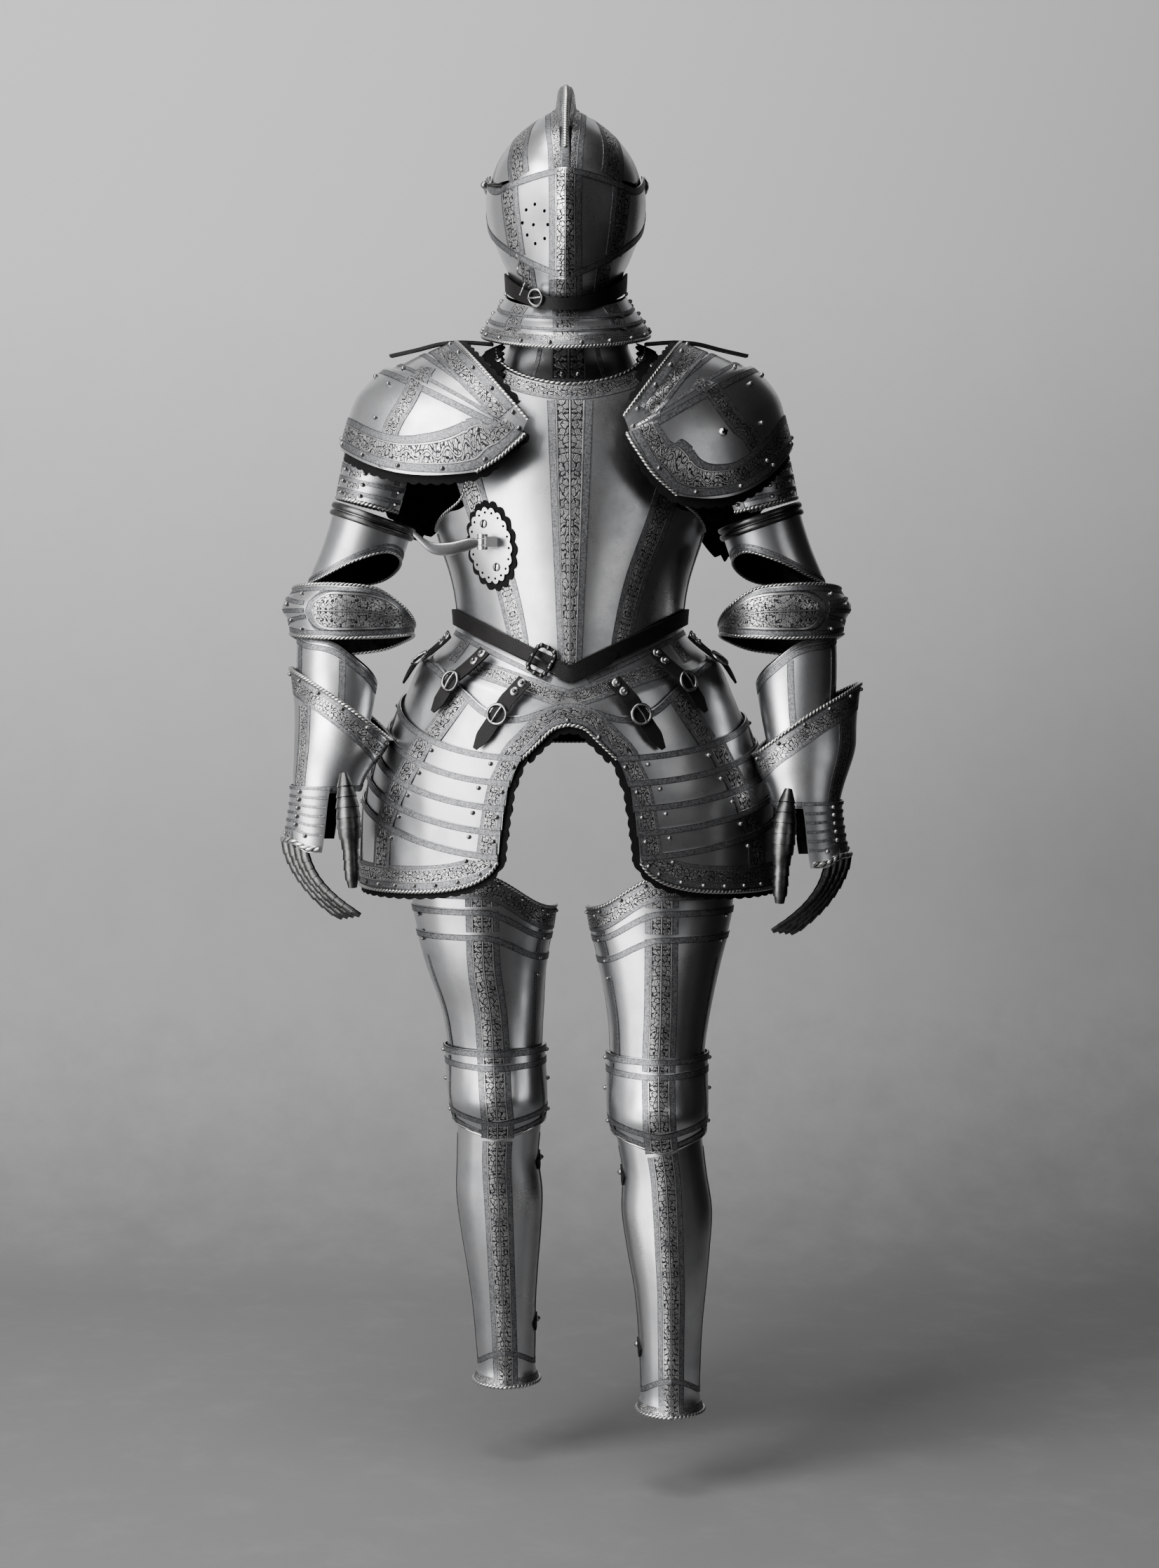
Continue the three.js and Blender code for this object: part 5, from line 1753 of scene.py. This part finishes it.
def build_arm(name):
    own = (lambda form: form) if name == "r" else mirrored
    edge = lambda height: (lambda angle: height(angle if name == "r" else -angle))
    arm = own(arm_form)
    way = 1 if name == "r" else -1

    def limb(form, first, last, top, bottom, cols, rows, **rest):
        ends = (first, last) if name == "r" else (-first, -last)
        return plate(form, always(ends[0]), always(ends[1]), edge(top), edge(bottom), cols, rows, **rest)

    top_of = lambda a: 232 - 14 * sin(a + 45)
    foot_of = lambda a: 163 - 13 * sin(a)
    pieces = []
    for top, low in shared_out(top_of, foot_of, [0, 0.25, 0.5, 0.75, 1]):
        pieces.append(limb(arm, -190, 40, top, low, 56, 5, lift=lapped(0.5)))
        pieces.append(strip(arm, edge_path(edge(top), way * -188, way * 38, -4), 6, 2.6))
        for angle, width in ((-38, 20), (-90, 7), (-140, 20), (25, 7)):
            a = way * angle
            kind = "scroll" if width > 10 else "guard"
            pieces.append(ribbon(arm, upright(a, edge(top)(a) - 3, edge(low)(a) + 1),
                    width, 2.3, kind, 4, 3))
        angles = [way * a for a in (-56, -20, 30)]
        pieces.append(studs([spot(arm, a, edge(low)(a) + 8, 2.8) for a in angles], 3))
    pieces.append(rope(arm, edge_path(edge(foot_of), way * -188, way * 38), 3, 0.8))
    assemble(f"shoulder_arm_lames_{name}_dressed", pieces, SUIT, f"pauldron_lames_{name}")

    cannon_top = lambda a: 153 - 18 * sin(a)
    lift = lambda a, v: 3 * (1 - v) ** 4
    pieces = [limb(arm, -180, 180, cannon_top, CANNON_FOOT, 72, 22, closed=True, lift=lift)]
    for inset in (-4, -9):
        pieces.append(strip(arm, edge_path(edge(CANNON_FOOT), -180, 180, -inset), 3.6, 0.6))
    pieces.append(rope(arm, edge_path(edge(CANNON_FOOT), -180, 180), 2, 0.2))
    for inset in (-4, -13):
        crest = lambda a, inset=inset: edge(cannon_top)(a) + inset
        swell = lambda a, z, crest=crest: 2.4 + 3.6 * math.sqrt(max(0.0, 1 - ((z - crest(a)) / 4.2) ** 2))
        pieces.append(ribbon(arm, edge_path(crest, -180, 180), 8.4, swell, "iron", 8, 4, wall=0.8))
    assemble(f"upper_cannon_{name}_dressed", pieces, SUIT, f"upper_cannon_{name}")

    couter = own(couter_form)
    pieces = [limb(couter, -180, 180, COUTER_TOP, COUTER_FOOT, 96, 16, wall=LAME, closed=True)]
    for rim, inset in ((COUTER_TOP, -6), (COUTER_FOOT, 6)):
        pieces.append(rope(couter, edge_path(edge(rim), -180, 180), 2.4, 0.2))
        pieces.append(strip(couter, edge_path(edge(rim), -180, 180, inset), 6, 0.7))
    tall = lambda a: COUTER_TOP(a) - COUTER_FOOT(a)
    middle = lambda a: (edge(COUTER_TOP)(a) + edge(COUTER_FOOT)(a)) / 2
    round_end = lambda t: math.sqrt(1 - (1 - clamp01(t / 0.16)) ** 2)
    for first, last, less, out, kind in ((-36, 86, 10, 0.6, "guard"), (-29, 83, 22, 1.1, "foliage")):
        wide = lambda t, a=first, b=last, less=less: 1 + round_end(t) * max(2, tall(mix(a, b, t)) - less)
        leaf = edge_path(middle, first * way, last * way)
        pieces.append(ribbon(couter, leaf, wide, out, kind, 10, 2.5))
    for near, far in ((0, 0), (10, 20), (-8, -17)):
        line = through((-38 * way, middle(-38 * way) + near), (-100 * way, middle(-100 * way) + far),
                (-175 * way, middle(-175 * way) + far))
        pieces.append(strip(couter, line, 6, 0.8, step=4))
    rivets = [(-46, COUTER_TOP, -12), (-46, COUTER_FOOT, 10), (-62, COUTER_TOP, -24), (-62, COUTER_FOOT, 20),
            (-100, COUTER_TOP, -12)]
    pieces.append(studs([spot(couter, a * way, rim(a) + inset, 1) for a, rim, inset in rivets], 3.2))
    assemble(f"couter_{name}_dressed", pieces, SUIT, f"couter_{name}")

    pieces = [limb(arm, -180, 180, FOREARM_TOP, always(-176), 72, 26, closed=True)]
    for inset, width in ((-4, 4), (-12, 8)):
        pieces.append(strip(arm, edge_path(edge(FOREARM_TOP), -180, 180, inset), width, 0.6))
    for angle in (-60, 12, 120):
        a = angle * way
        pieces.append(strip(arm, upright(a, edge(FOREARM_TOP)(a) - 16, -170), 9, 0.6))
    assemble(f"lower_cannon_{name}_dressed", pieces, SUIT, f"lower_cannon_{name}")


def build_gauntlet(name):
    drop, flare = ARM_DROP[name], ARM_FLARE[name]
    way = 1 if name == "r" else -1
    base = gauntlet_form(flare, drop)
    form = base if name == "r" else mirrored(base)
    cuff_top = lambda a: -96 - 46 * sin(a * way) - drop
    wrist = -208 - drop
    pieces = [plate(form, always(-180), always(180), cuff_top, always(wrist), 80, 26,
            wall=LAME, closed=True)]
    pieces.append(rope(form, edge_path(cuff_top, -180, 180), 3, 0.2))
    pieces.append(strip(form, edge_path(cuff_top, -180, 180, -7), 7, 0.6))
    pieces.append(ribbon(form, edge_path(cuff_top, -180, 180, -19), 16, 0.6, "scroll"))
    pieces.append(strip(form, edge_path(cuff_top, -180, 180, -30), 5, 0.6))
    for angle in (-50, 140):
        pieces += banded(form, upright(way * angle, cuff_top(way * angle) - 34, wrist + 4),
                lambda t: mix(15, 12, t), 0.6, "scroll", guard=4)
    pieces.append(strip(form, edge_path(always(wrist + 5), -180, 180), 7, 0.8))
    pieces.append(studs(along(form, edge_path(cuff_top, -120 * way, 70 * way, -7), 7, 1), 3))
    assemble(f"gauntlet_cuff_{name}_dressed", pieces, SUIT, f"gauntlet_cuff_{name}")

    steps = [0, 0.14, 0.28, 0.42, 0.56, 0.7, 1]
    foot_of = lambda a: -273 - 10 * smooth((a * way + 50) / 40) - drop
    pieces = []
    for top, low in shared_out(always(-200 - drop), foot_of, steps):
        pieces.append(plate(form, always(way * -195), always(way * 8), top, low, 40, 4, lift=lapped(3.4)))
        pieces.append(strip(form, edge_path(top, way * -190, way * 6, -2.5), 3.6, 5.1))
    pieces += banded(form, upright(way * -60, -256 - drop, -270 - drop), 16, 4.6, "scroll", guard=3, step=3)
    heights = [mix(-200, -275, share) - drop for share in (0.09, 0.22, 0.36, 0.5, 0.64)]
    pieces.append(studs([spot(form, way * -42, z, 5.2) for z in heights], 3.2))
    pieces.append(rope(form, edge_path(lambda a: foot_of(a) + 5, way * -150, way * 2), 4.2, 5.5, pitch=9))
    pieces.append(studs([spot(form, way * -22, -262 - drop, 4.8), spot(form, way * -100, -262 - drop, 4.8)],
            3.2))
    assemble(f"gauntlet_hand_{name}_dressed", pieces, SUIT, f"gauntlet_hand_{name}")

    at = lambda x, y, z: Vector((x if name == "r" else 2 * MIDDLE - x, y, z - drop))
    bow = Vector((-26 if name == "r" else 26, 0, -6))
    slim = curve([(0, 8.6), (0.5, 7), (0.93, 5.6), (1, 3)])
    pieces = []
    for k in range(4):
        root = at(-335 - 10 * k, -133 + 19 * k, -281 + 3 * k)
        pieces += finger(root, at(-265 - 9 * k, -140 + 18 * k, -362 - 3 * k), bow, slim, 105, 9)
    assemble(f"gauntlet_fingers_{name}_dressed", pieces, SUIT, f"gauntlet_fingers_{name}")

    thumb_bow = Vector((4 if name == "r" else -4, -14, 0))
    leafy = curve([(0, 5), (0.15, 10), (0.3, 13.5), (0.5, 13.5), (0.66, 9.5), (0.9, 8), (1, 4)])
    pieces = finger(at(-286, -146, -182), at(-274, -156, -326), thumb_bow, leafy, 105, 11)
    assemble(f"gauntlet_thumb_{name}_dressed", pieces, SUIT, f"gauntlet_thumb_{name}")


def finger(start, end, bow, radius, open_angle, scales):
    """Overlapping scales over a bent line, open towards the palm; radius is a curve along the line."""
    middle = (start + end) / 2 + bow

    def at(t):
        return start * (1 - t) ** 2 + middle * 2 * t * (1 - t) + end * t * t

    pieces = []
    for k in range(scales):
        first, last = k / scales, min(1, (k + 1.3) / scales)

        def place(across, down, out, first=first, last=last):
            t = mix(first, last, down)
            ahead = ((middle - start) * (1 - t) + (end - middle) * t).normalized()
            outward = (bow - ahead * bow.dot(ahead)).normalized()
            side = ahead.cross(outward)
            turn = mix(-open_angle, open_angle, across)
            reach = radius(t) + 1.9 * down + out
            return at(t) + outward * reach * cos(turn) + side * reach * sin(turn)

        scale = grid("scale", 14, 5, place)
        # inner faces of the scales get the dark finish that is partly painted shade
        clad(scale, "iron", "inside")
        apply_modifier(scale, "SOLIDIFY", thickness=1.2 * MM, offset=-1,
                material_offset=1, material_offset_rim=0)
        smooth_shading(scale)
        pieces.append(scale)
    return pieces


# ---- legs

CUISSE_FOOT, KNEE_TOP, GREAVE_FOOT = -556, -549, -1003
KNEE = {"z": -622, "tall": 34, "wide": 62}


def build_leg(name):
    way = DIR[name]
    form = leg_form[name]
    top_of = lambda a: -318 - 46 * smooth(-way * sin(a))
    shares = [0, 0.18, 0.32, 1]
    pieces = []
    for k, (top, low) in enumerate(shared_out(top_of, always(CUISSE_FOOT), shares)):
        pieces.append(plate(form, always(way * 112), always(-way * 96), top, low, 64, 30 if k == 2 else 6,
                lift=lambda a, v: 1.4 * (1 - v) ** 2))
        if k:
            pieces.append(strip(form, edge_path(top, way * 110, -way * 94, -5), 8, 2.1))
        pieces += banded(form, upright(0, top(0) - (30 if k == 0 else 4), low(0) + 3), 27, 1.8, guard=8)
    pieces.append(rope(form, edge_path(top_of, way * 112, -way * 96), 2.8, 0.8))
    for width, inset, kind in ((6, -6, "guard"), (16, -17, "scroll"), (5, -28, "guard")):
        pieces.append(ribbon(form, edge_path(top_of, way * 110, -way * 94, inset), width, 2.2, kind, 4))
    for side, angle in ((way, 106), (way, 62), (-way, 90), (-way, 56)):
        pieces.append(strip(form, upright(side * angle, -392, -550), 6, 0.9))
    places = along(form, edge_path(top_of, way * 80, -way * 80, -6), 8, 2.6)
    places += [spot(form, side * 62, z, 2.2) for side in (-1, 1) for z in (-372, -404)]
    places += [spot(form, -way * 60, z, 1) for z in (-430, -452)]
    pieces.append(studs(places, 2.8))
    assemble(f"cuisse_{name}_dressed", pieces, SUIT, f"cuisse_{name}")

    foot_of = lambda a: -668 + 20 * abs(sin(a)) ** 1.2
    shares = [0, 0.16, 0.78, 1]
    bulge = in_mm("knee_bulge")

    def knee_lift(angle, z):
        near = math.exp(-(((z - KNEE["z"]) / KNEE["tall"]) ** 2))
        return 4.2 + near * bulge * math.exp(-((angle / KNEE["wide"]) ** 2))

    knee_form = lambda a, z, out=0: form(a, z, knee_lift(a, z) + out)
    pieces = []
    for k, (top, low) in enumerate(shared_out(always(KNEE_TOP), foot_of, shares)):
        step_lift = always([0.6, 1.2, 0][k])
        pieces.append(plate(knee_form, always(way * 104), always(-way * 98), top, low, 64,
                20 if k == 1 else 6, wall=LAME, lift=step_lift))
        pieces += banded(knee_form, upright(0, top(0) - 2, low(0) + 2), 27, 1.8, guard=8)
        pieces.append(strip(knee_form, edge_path(top, way * 102, -way * 96, -4.5), 8, 1.9))
        pieces.append(studs([spot(knee_form, a, mix(top(a), low(a), 0.5), 1.6) for a in (-88, 88)], 3))
    pieces.append(strip(knee_form, edge_path(foot_of, way * 102, -way * 96, 5), 6, 1.2))
    pieces.append(rope(knee_form, edge_path(foot_of, way * 102, -way * 96), 1.8, 0.3, pitch=40))
    for side in (-1, 1):
        pieces.append(strip(knee_form, upright(side * 62, -560, -650), 6, 1.7))
    assemble(f"poleyn_{name}_dressed", pieces, SUIT, f"poleyn_{name}")

    top_of = lambda a: -640 + 14 * cos(a) - 20 * max(0, -cos(a))
    pieces = [plate(form, *ALL_ROUND, top_of, always(GREAVE_FOOT), 72, 60, closed=True)]
    pieces += banded(form, upright(0, -672, -998), lambda t: mix(26, 19, t), 0.8, guard=7)
    pieces.append(rope(form, edge_path(always(GREAVE_FOOT), 0, 360), 2.8, 0.3))
    arched = lambda a: -984 + 20 * max(0, cos(a)) ** 2
    pieces.append(ribbon(form, edge_path(arched, 0, 360, 6), 7, 1.1, "guard", 3))
    pieces.append(ribbon(form, edge_path(always(-996), 0, 360), 9, 0.6, "scroll", 3))
    for angle in (86, 94, -86, -94):
        pieces.append(strip(form, upright(angle, -670, -975), 5, 0.8))
    assemble(f"greave_{name}_dressed", pieces, SUIT, f"greave_{name}")

    inner = -way * 84
    tabs = []
    for z in (-706, -925):
        tabs.append(ribbon(form, through((inner - way * 14, z + 6), (inner + way * 10, z - 6)), 13, 2.6,
                "hide", 3, 4, wall=2.2))
    finish(join(f"greave_straps_{name}", tabs), SUIT)
    pins = [spot(form, inner - way * 6, z + 3, 3) for z in (-706, -925)]
    finish(copies(rosette(4.5, 4, 6), pins, "stud"), SUIT).name = f"greave_pins_{name}"


# ---- studio

SHEET = {"half": 1350, "top": 3500, "wall": 1600, "front": -750, "floor": -1110, "sweep": 660}
HUNG, LAID = 0.3, 0.8  # shares of the sheet at the foot of its wall and at the start of its floor
CAMERA_X, CAMERA_SHIFT = 0.014, -0.098


def build_stage(studio):
    """A painted sheet that hangs behind the armour and sweeps forward over the floor."""
    bend_y, bend_z = SHEET["wall"] - SHEET["sweep"], SHEET["floor"] + SHEET["sweep"]

    def place(across, down, out):
        x = mix(-SHEET["half"], SHEET["half"], across)
        if down < HUNG:
            return Vector((x, SHEET["wall"] - out, mix(SHEET["top"], bend_z, down / HUNG)))
        if down < LAID:
            turn, reach = (down - HUNG) / (LAID - HUNG) * 90, SHEET["sweep"] - out
            return Vector((x, bend_y + reach * cos(turn), bend_z - reach * sin(turn)))
        return Vector((x, mix(bend_y, SHEET["front"], (down - LAID) / (1 - LAID)), SHEET["floor"] + out))

    backdrop = grid("studio_backdrop", 8, 60, place)
    clad(backdrop, "backdrop")
    smooth_shading(backdrop, 60)
    backdrop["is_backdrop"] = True
    light_room(studio)

    bpy.ops.object.camera_add(location=(CAMERA_X, -studio.camera_distance, 0), rotation=(math.pi / 2, 0, 0))
    camera = bpy.context.object
    camera.name = "studio_camera"
    camera.data.sensor_width = 36
    camera.data.lens = studio.camera_lens
    camera.data.shift_y = CAMERA_SHIFT
    bpy.context.scene.camera = camera
    bpy.context.scene.view_settings.look = "AgX - Medium High Contrast"


def light_room(studio):
    """Air that is bright on the wearer's right and dark on the left, and four soft lamps."""
    world = bpy.context.scene.world or bpy.data.worlds.new("studio_air")
    bpy.context.scene.world = world
    world.use_nodes = True
    tree = world.node_tree
    parts = node(tree, "SeparateXYZ", {0: node(tree, "TexCoord").outputs["Generated"]})
    share = node(tree, "MapRange", {"Value": parts.outputs[0], "From Min": -1.0, "From Max": 1.0})
    shade = ramp(tree, share, (0.0, "#f2f2f2"), (0.38, "#c8c8c8"), (0.62, "#6c6c6c"), (1.0, "#2a2a2a"))
    air = tree.nodes.get("Background")
    tree.links.new(shade.outputs[0], air.inputs["Color"])
    air.inputs["Strength"].default_value = studio.room_light

    for label, place, size, power in (
        ("key_light", (-2.6, -2.4, 1.7), 2.2, studio.key_power),
        ("fill_light", (2.6, -2.8, 0.6), 1.6, studio.fill_power),
        ("top_light", (-0.6, -1.0, 3.0), 1.6, studio.top_power),
        ("low_light", (-2.3, -1.8, -0.5), 2.2, studio.low_power),
    ):
        bpy.ops.object.light_add(type="AREA", location=place)
        lamp = bpy.context.object
        lamp.name = label
        lamp.data.size = size
        lamp.data.energy = power
        lamp.rotation_euler = (-Vector(place)).to_track_quat("-Z", "Y").to_euler()


# ---- add-on


def length_property(name, description, millimetres):
    return bpy.props.FloatProperty(
        name=name, description=description, default=millimetres * MM, min=0, precision=4, unit="LENGTH")


def colour_property(name, description, code):
    return bpy.props.FloatVectorProperty(
        name=name, description=description, default=linear(code), min=0, max=1, size=4, subtype="COLOR")


def power_property(name, description, watts):
    return bpy.props.FloatProperty(name=name, description=description, default=watts, min=0, unit="POWER")


class SizeSettings(bpy.types.PropertyGroup):
    """Sizes of the plates, their trim and the straps."""

    plate_wall: length_property("Plate wall", "Thickness of the large plates", 2)
    lame_wall: length_property("Lame wall", "Thickness of the narrow sliding plates", 1.6)
    band_relief: length_property("Band relief",
            "Thickness of the etched bands and of the strips beside them", 0.5)
    stud_height: length_property("Stud height", "Height that gives the rivet heads their roundness", 3.6)
    belt_width: length_property("Belt width", "Width of the leather belt", 20)
    belt_wall: length_property("Belt thickness", "Thickness of the leather belt", 3)
    strap_width: length_property("Strap width", "Width of the hanging straps", 18)
    strap_wall: length_property("Strap thickness", "Thickness of the hanging straps", 2.6)
    knee_bulge: length_property("Knee bulge", "How far the knee cups swell out at their middle", 16)
    rope_thickness: bpy.props.FloatProperty(
        name="Rope thickness", description="Share of the usual thickness of roped edges", default=1, min=0.1)


class ColourSettings(bpy.types.PropertyGroup):
    """Colours of the finishes."""

    steel_bright: colour_property("Bright steel", "Polished plate where its polish is best kept", "#dadad9")
    steel_plain: colour_property("Plain steel", "Polished plate over most of the suit", "#cfd0d1")
    steel_worn: colour_property("Worn steel", "Polished plate where it has dulled", "#b4b6b8")
    rope_strand: colour_property("Rope strand", "Top of the strands on the roped edges", "#d6d6d4")
    # painted shade: the dark colour in the rope's grooves
    rope_groove: colour_property("Rope groove", "Bottom of the grooves on the roped edges", "#2b2a29")
    stud_light: colour_property("Studs, light", "Paler patches on rivets and rosettes", "#b4b4b3")
    stud_dark: colour_property("Studs, dark", "Darker patches on rivets and rosettes", "#838382")
    iron_light: colour_property("Iron, light",
            "Paler patches on fingers, ridges and the belt's buckle", "#7c7c7b")
    iron_dark: colour_property("Iron, dark",
            "Darker patches on fingers, ridges and the belt's buckle", "#5c5c5b")
    leather_light: colour_property("Leather, light", "Scuffed patches on the belt and straps", "#191614")
    leather_dark: colour_property("Leather, dark", "Unscuffed leather of the belt and straps", "#0a0908")
    lining_light: colour_property("Lining, light", "Scuffed patches on the lining", "#121010")
    lining_dark: colour_property("Lining, dark", "Unscuffed leather of the lining", "#060505")


class StudioSettings(bpy.types.PropertyGroup):
    """Light and camera of the studio."""

    camera_distance: bpy.props.FloatProperty(
        name="Camera distance", description="From the suit's middle", default=3.65, min=0.1, unit="LENGTH")
    camera_lens: bpy.props.FloatProperty(
        name="Camera lens", description="Focal length in millimetres", default=63.2, min=1, unit="CAMERA")
    room_light: bpy.props.FloatProperty(
        name="Room light", description="Strength of the even light from all round", default=0.5, min=0)
    key_power: power_property("Key power", "Large soft light on the wearer's right", 120)
    fill_power: power_property("Fill power", "Weak light on the wearer's left", 6)
    top_power: power_property("Top power", "Soft light from above", 45)
    low_power: power_property("Low power", "Soft light near the floor", 42)


SETTINGS = {"armour_sizes": SizeSettings, "armour_colours": ColourSettings, "armour_studio": StudioSettings}


class ARMOUR_OT_finishes(bpy.types.Operator):
    """Makes the metal, leather and paint finishes"""

    bl_idname = "armour.finishes"
    bl_label = "Finishes"

    def execute(self, context):
        make_finishes(context.scene.armour_colours)
        return {"FINISHED"}


class ARMOUR_OT_helmet(bpy.types.Operator):
    """Makes the helmet: skull with its comb, visor, peg, bevor and neck strap"""

    bl_idname = "armour.helmet"
    bl_label = "Helmet"

    def execute(self, context):
        build_skull()
        build_visor()
        build_peg()
        build_bevor()
        build_neck_strap()
        return {"FINISHED"}


class ARMOUR_OT_body(bpy.types.Operator):
    """Makes the collar, gorget, breastplate, backplate and belt"""

    bl_idname = "armour.body"
    bl_label = "Body"

    def execute(self, context):
        build_collar()
        build_gorget()
        build_breastplate()
        build_backplate()
        build_neck_fastenings()
        build_belt()
        return {"FINISHED"}


class ARMOUR_OT_lance_rest(bpy.types.Operator):
    """Makes the lance rest on the right breast"""

    bl_idname = "armour.lance_rest"
    bl_label = "Lance Rest"

    def execute(self, context):
        build_lance_rest()
        return {"FINISHED"}


class ARMOUR_OT_skirt(bpy.types.Operator):
    """Makes the skirt hoops, tassets, rump guard and hanging straps"""

    bl_idname = "armour.skirt"
    bl_label = "Skirt"

    def execute(self, context):
        build_hoops()
        build_tassets()
        build_rump_guard()
        build_hanging_straps()
        return {"FINISHED"}


class ARMOUR_OT_arms(bpy.types.Operator):
    """Makes both shoulders, arms and gauntlets"""

    bl_idname = "armour.arms"
    bl_label = "Arms"

    def execute(self, context):
        for name in DIR:
            build_shoulder(name)
            build_arm(name)
            build_gauntlet(name)
        return {"FINISHED"}


class ARMOUR_OT_legs(bpy.types.Operator):
    """Makes the plates of both legs"""

    bl_idname = "armour.legs"
    bl_label = "Legs"

    def execute(self, context):
        for name in DIR:
            build_leg(name)
        return {"FINISHED"}


class ARMOUR_OT_studio(bpy.types.Operator):
    """Makes the studio's painted sheet, lights and camera"""

    bl_idname = "armour.studio"
    bl_label = "Studio"

    def execute(self, context):
        build_stage(context.scene.armour_studio)
        return {"FINISHED"}


PARTS = (
    ARMOUR_OT_finishes,
    ARMOUR_OT_helmet,
    ARMOUR_OT_body,
    ARMOUR_OT_lance_rest,
    ARMOUR_OT_skirt,
    ARMOUR_OT_arms,
    ARMOUR_OT_legs,
    ARMOUR_OT_studio,
)


class ARMOUR_PT_panel(bpy.types.Panel):
    """Lists the parts of the suit, with its sizes, colours and studio"""

    bl_label = "Suit of Plate Armour"
    bl_space_type = "VIEW_3D"
    bl_region_type = "UI"
    bl_category = "Armour"

    def draw(self, context):
        for part in PARTS:
            self.layout.operator(part.bl_idname)
        for owner, group in SETTINGS.items():
            for name in group.__annotations__:
                self.layout.prop(getattr(context.scene, owner), name)


CLASSES = (*SETTINGS.values(), *PARTS, ARMOUR_PT_panel)


def register():
    for cls in CLASSES:
        bpy.utils.register_class(cls)
    for owner, group in SETTINGS.items():
        setattr(bpy.types.Scene, owner, bpy.props.PointerProperty(type=group))


def unregister():
    for owner in SETTINGS:
        delattr(bpy.types.Scene, owner)
    for cls in reversed(CLASSES):
        bpy.utils.unregister_class(cls)


def main():
    register()
    for part in PARTS:
        space, name = part.bl_idname.split(".")
        getattr(getattr(bpy.ops, space), name)()
    plain = lambda box: [list(corner) for corner in box]
    {"cad": plain(CAD_BOX), "visual": plain(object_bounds())}


if __name__ == "__main__":
    main()
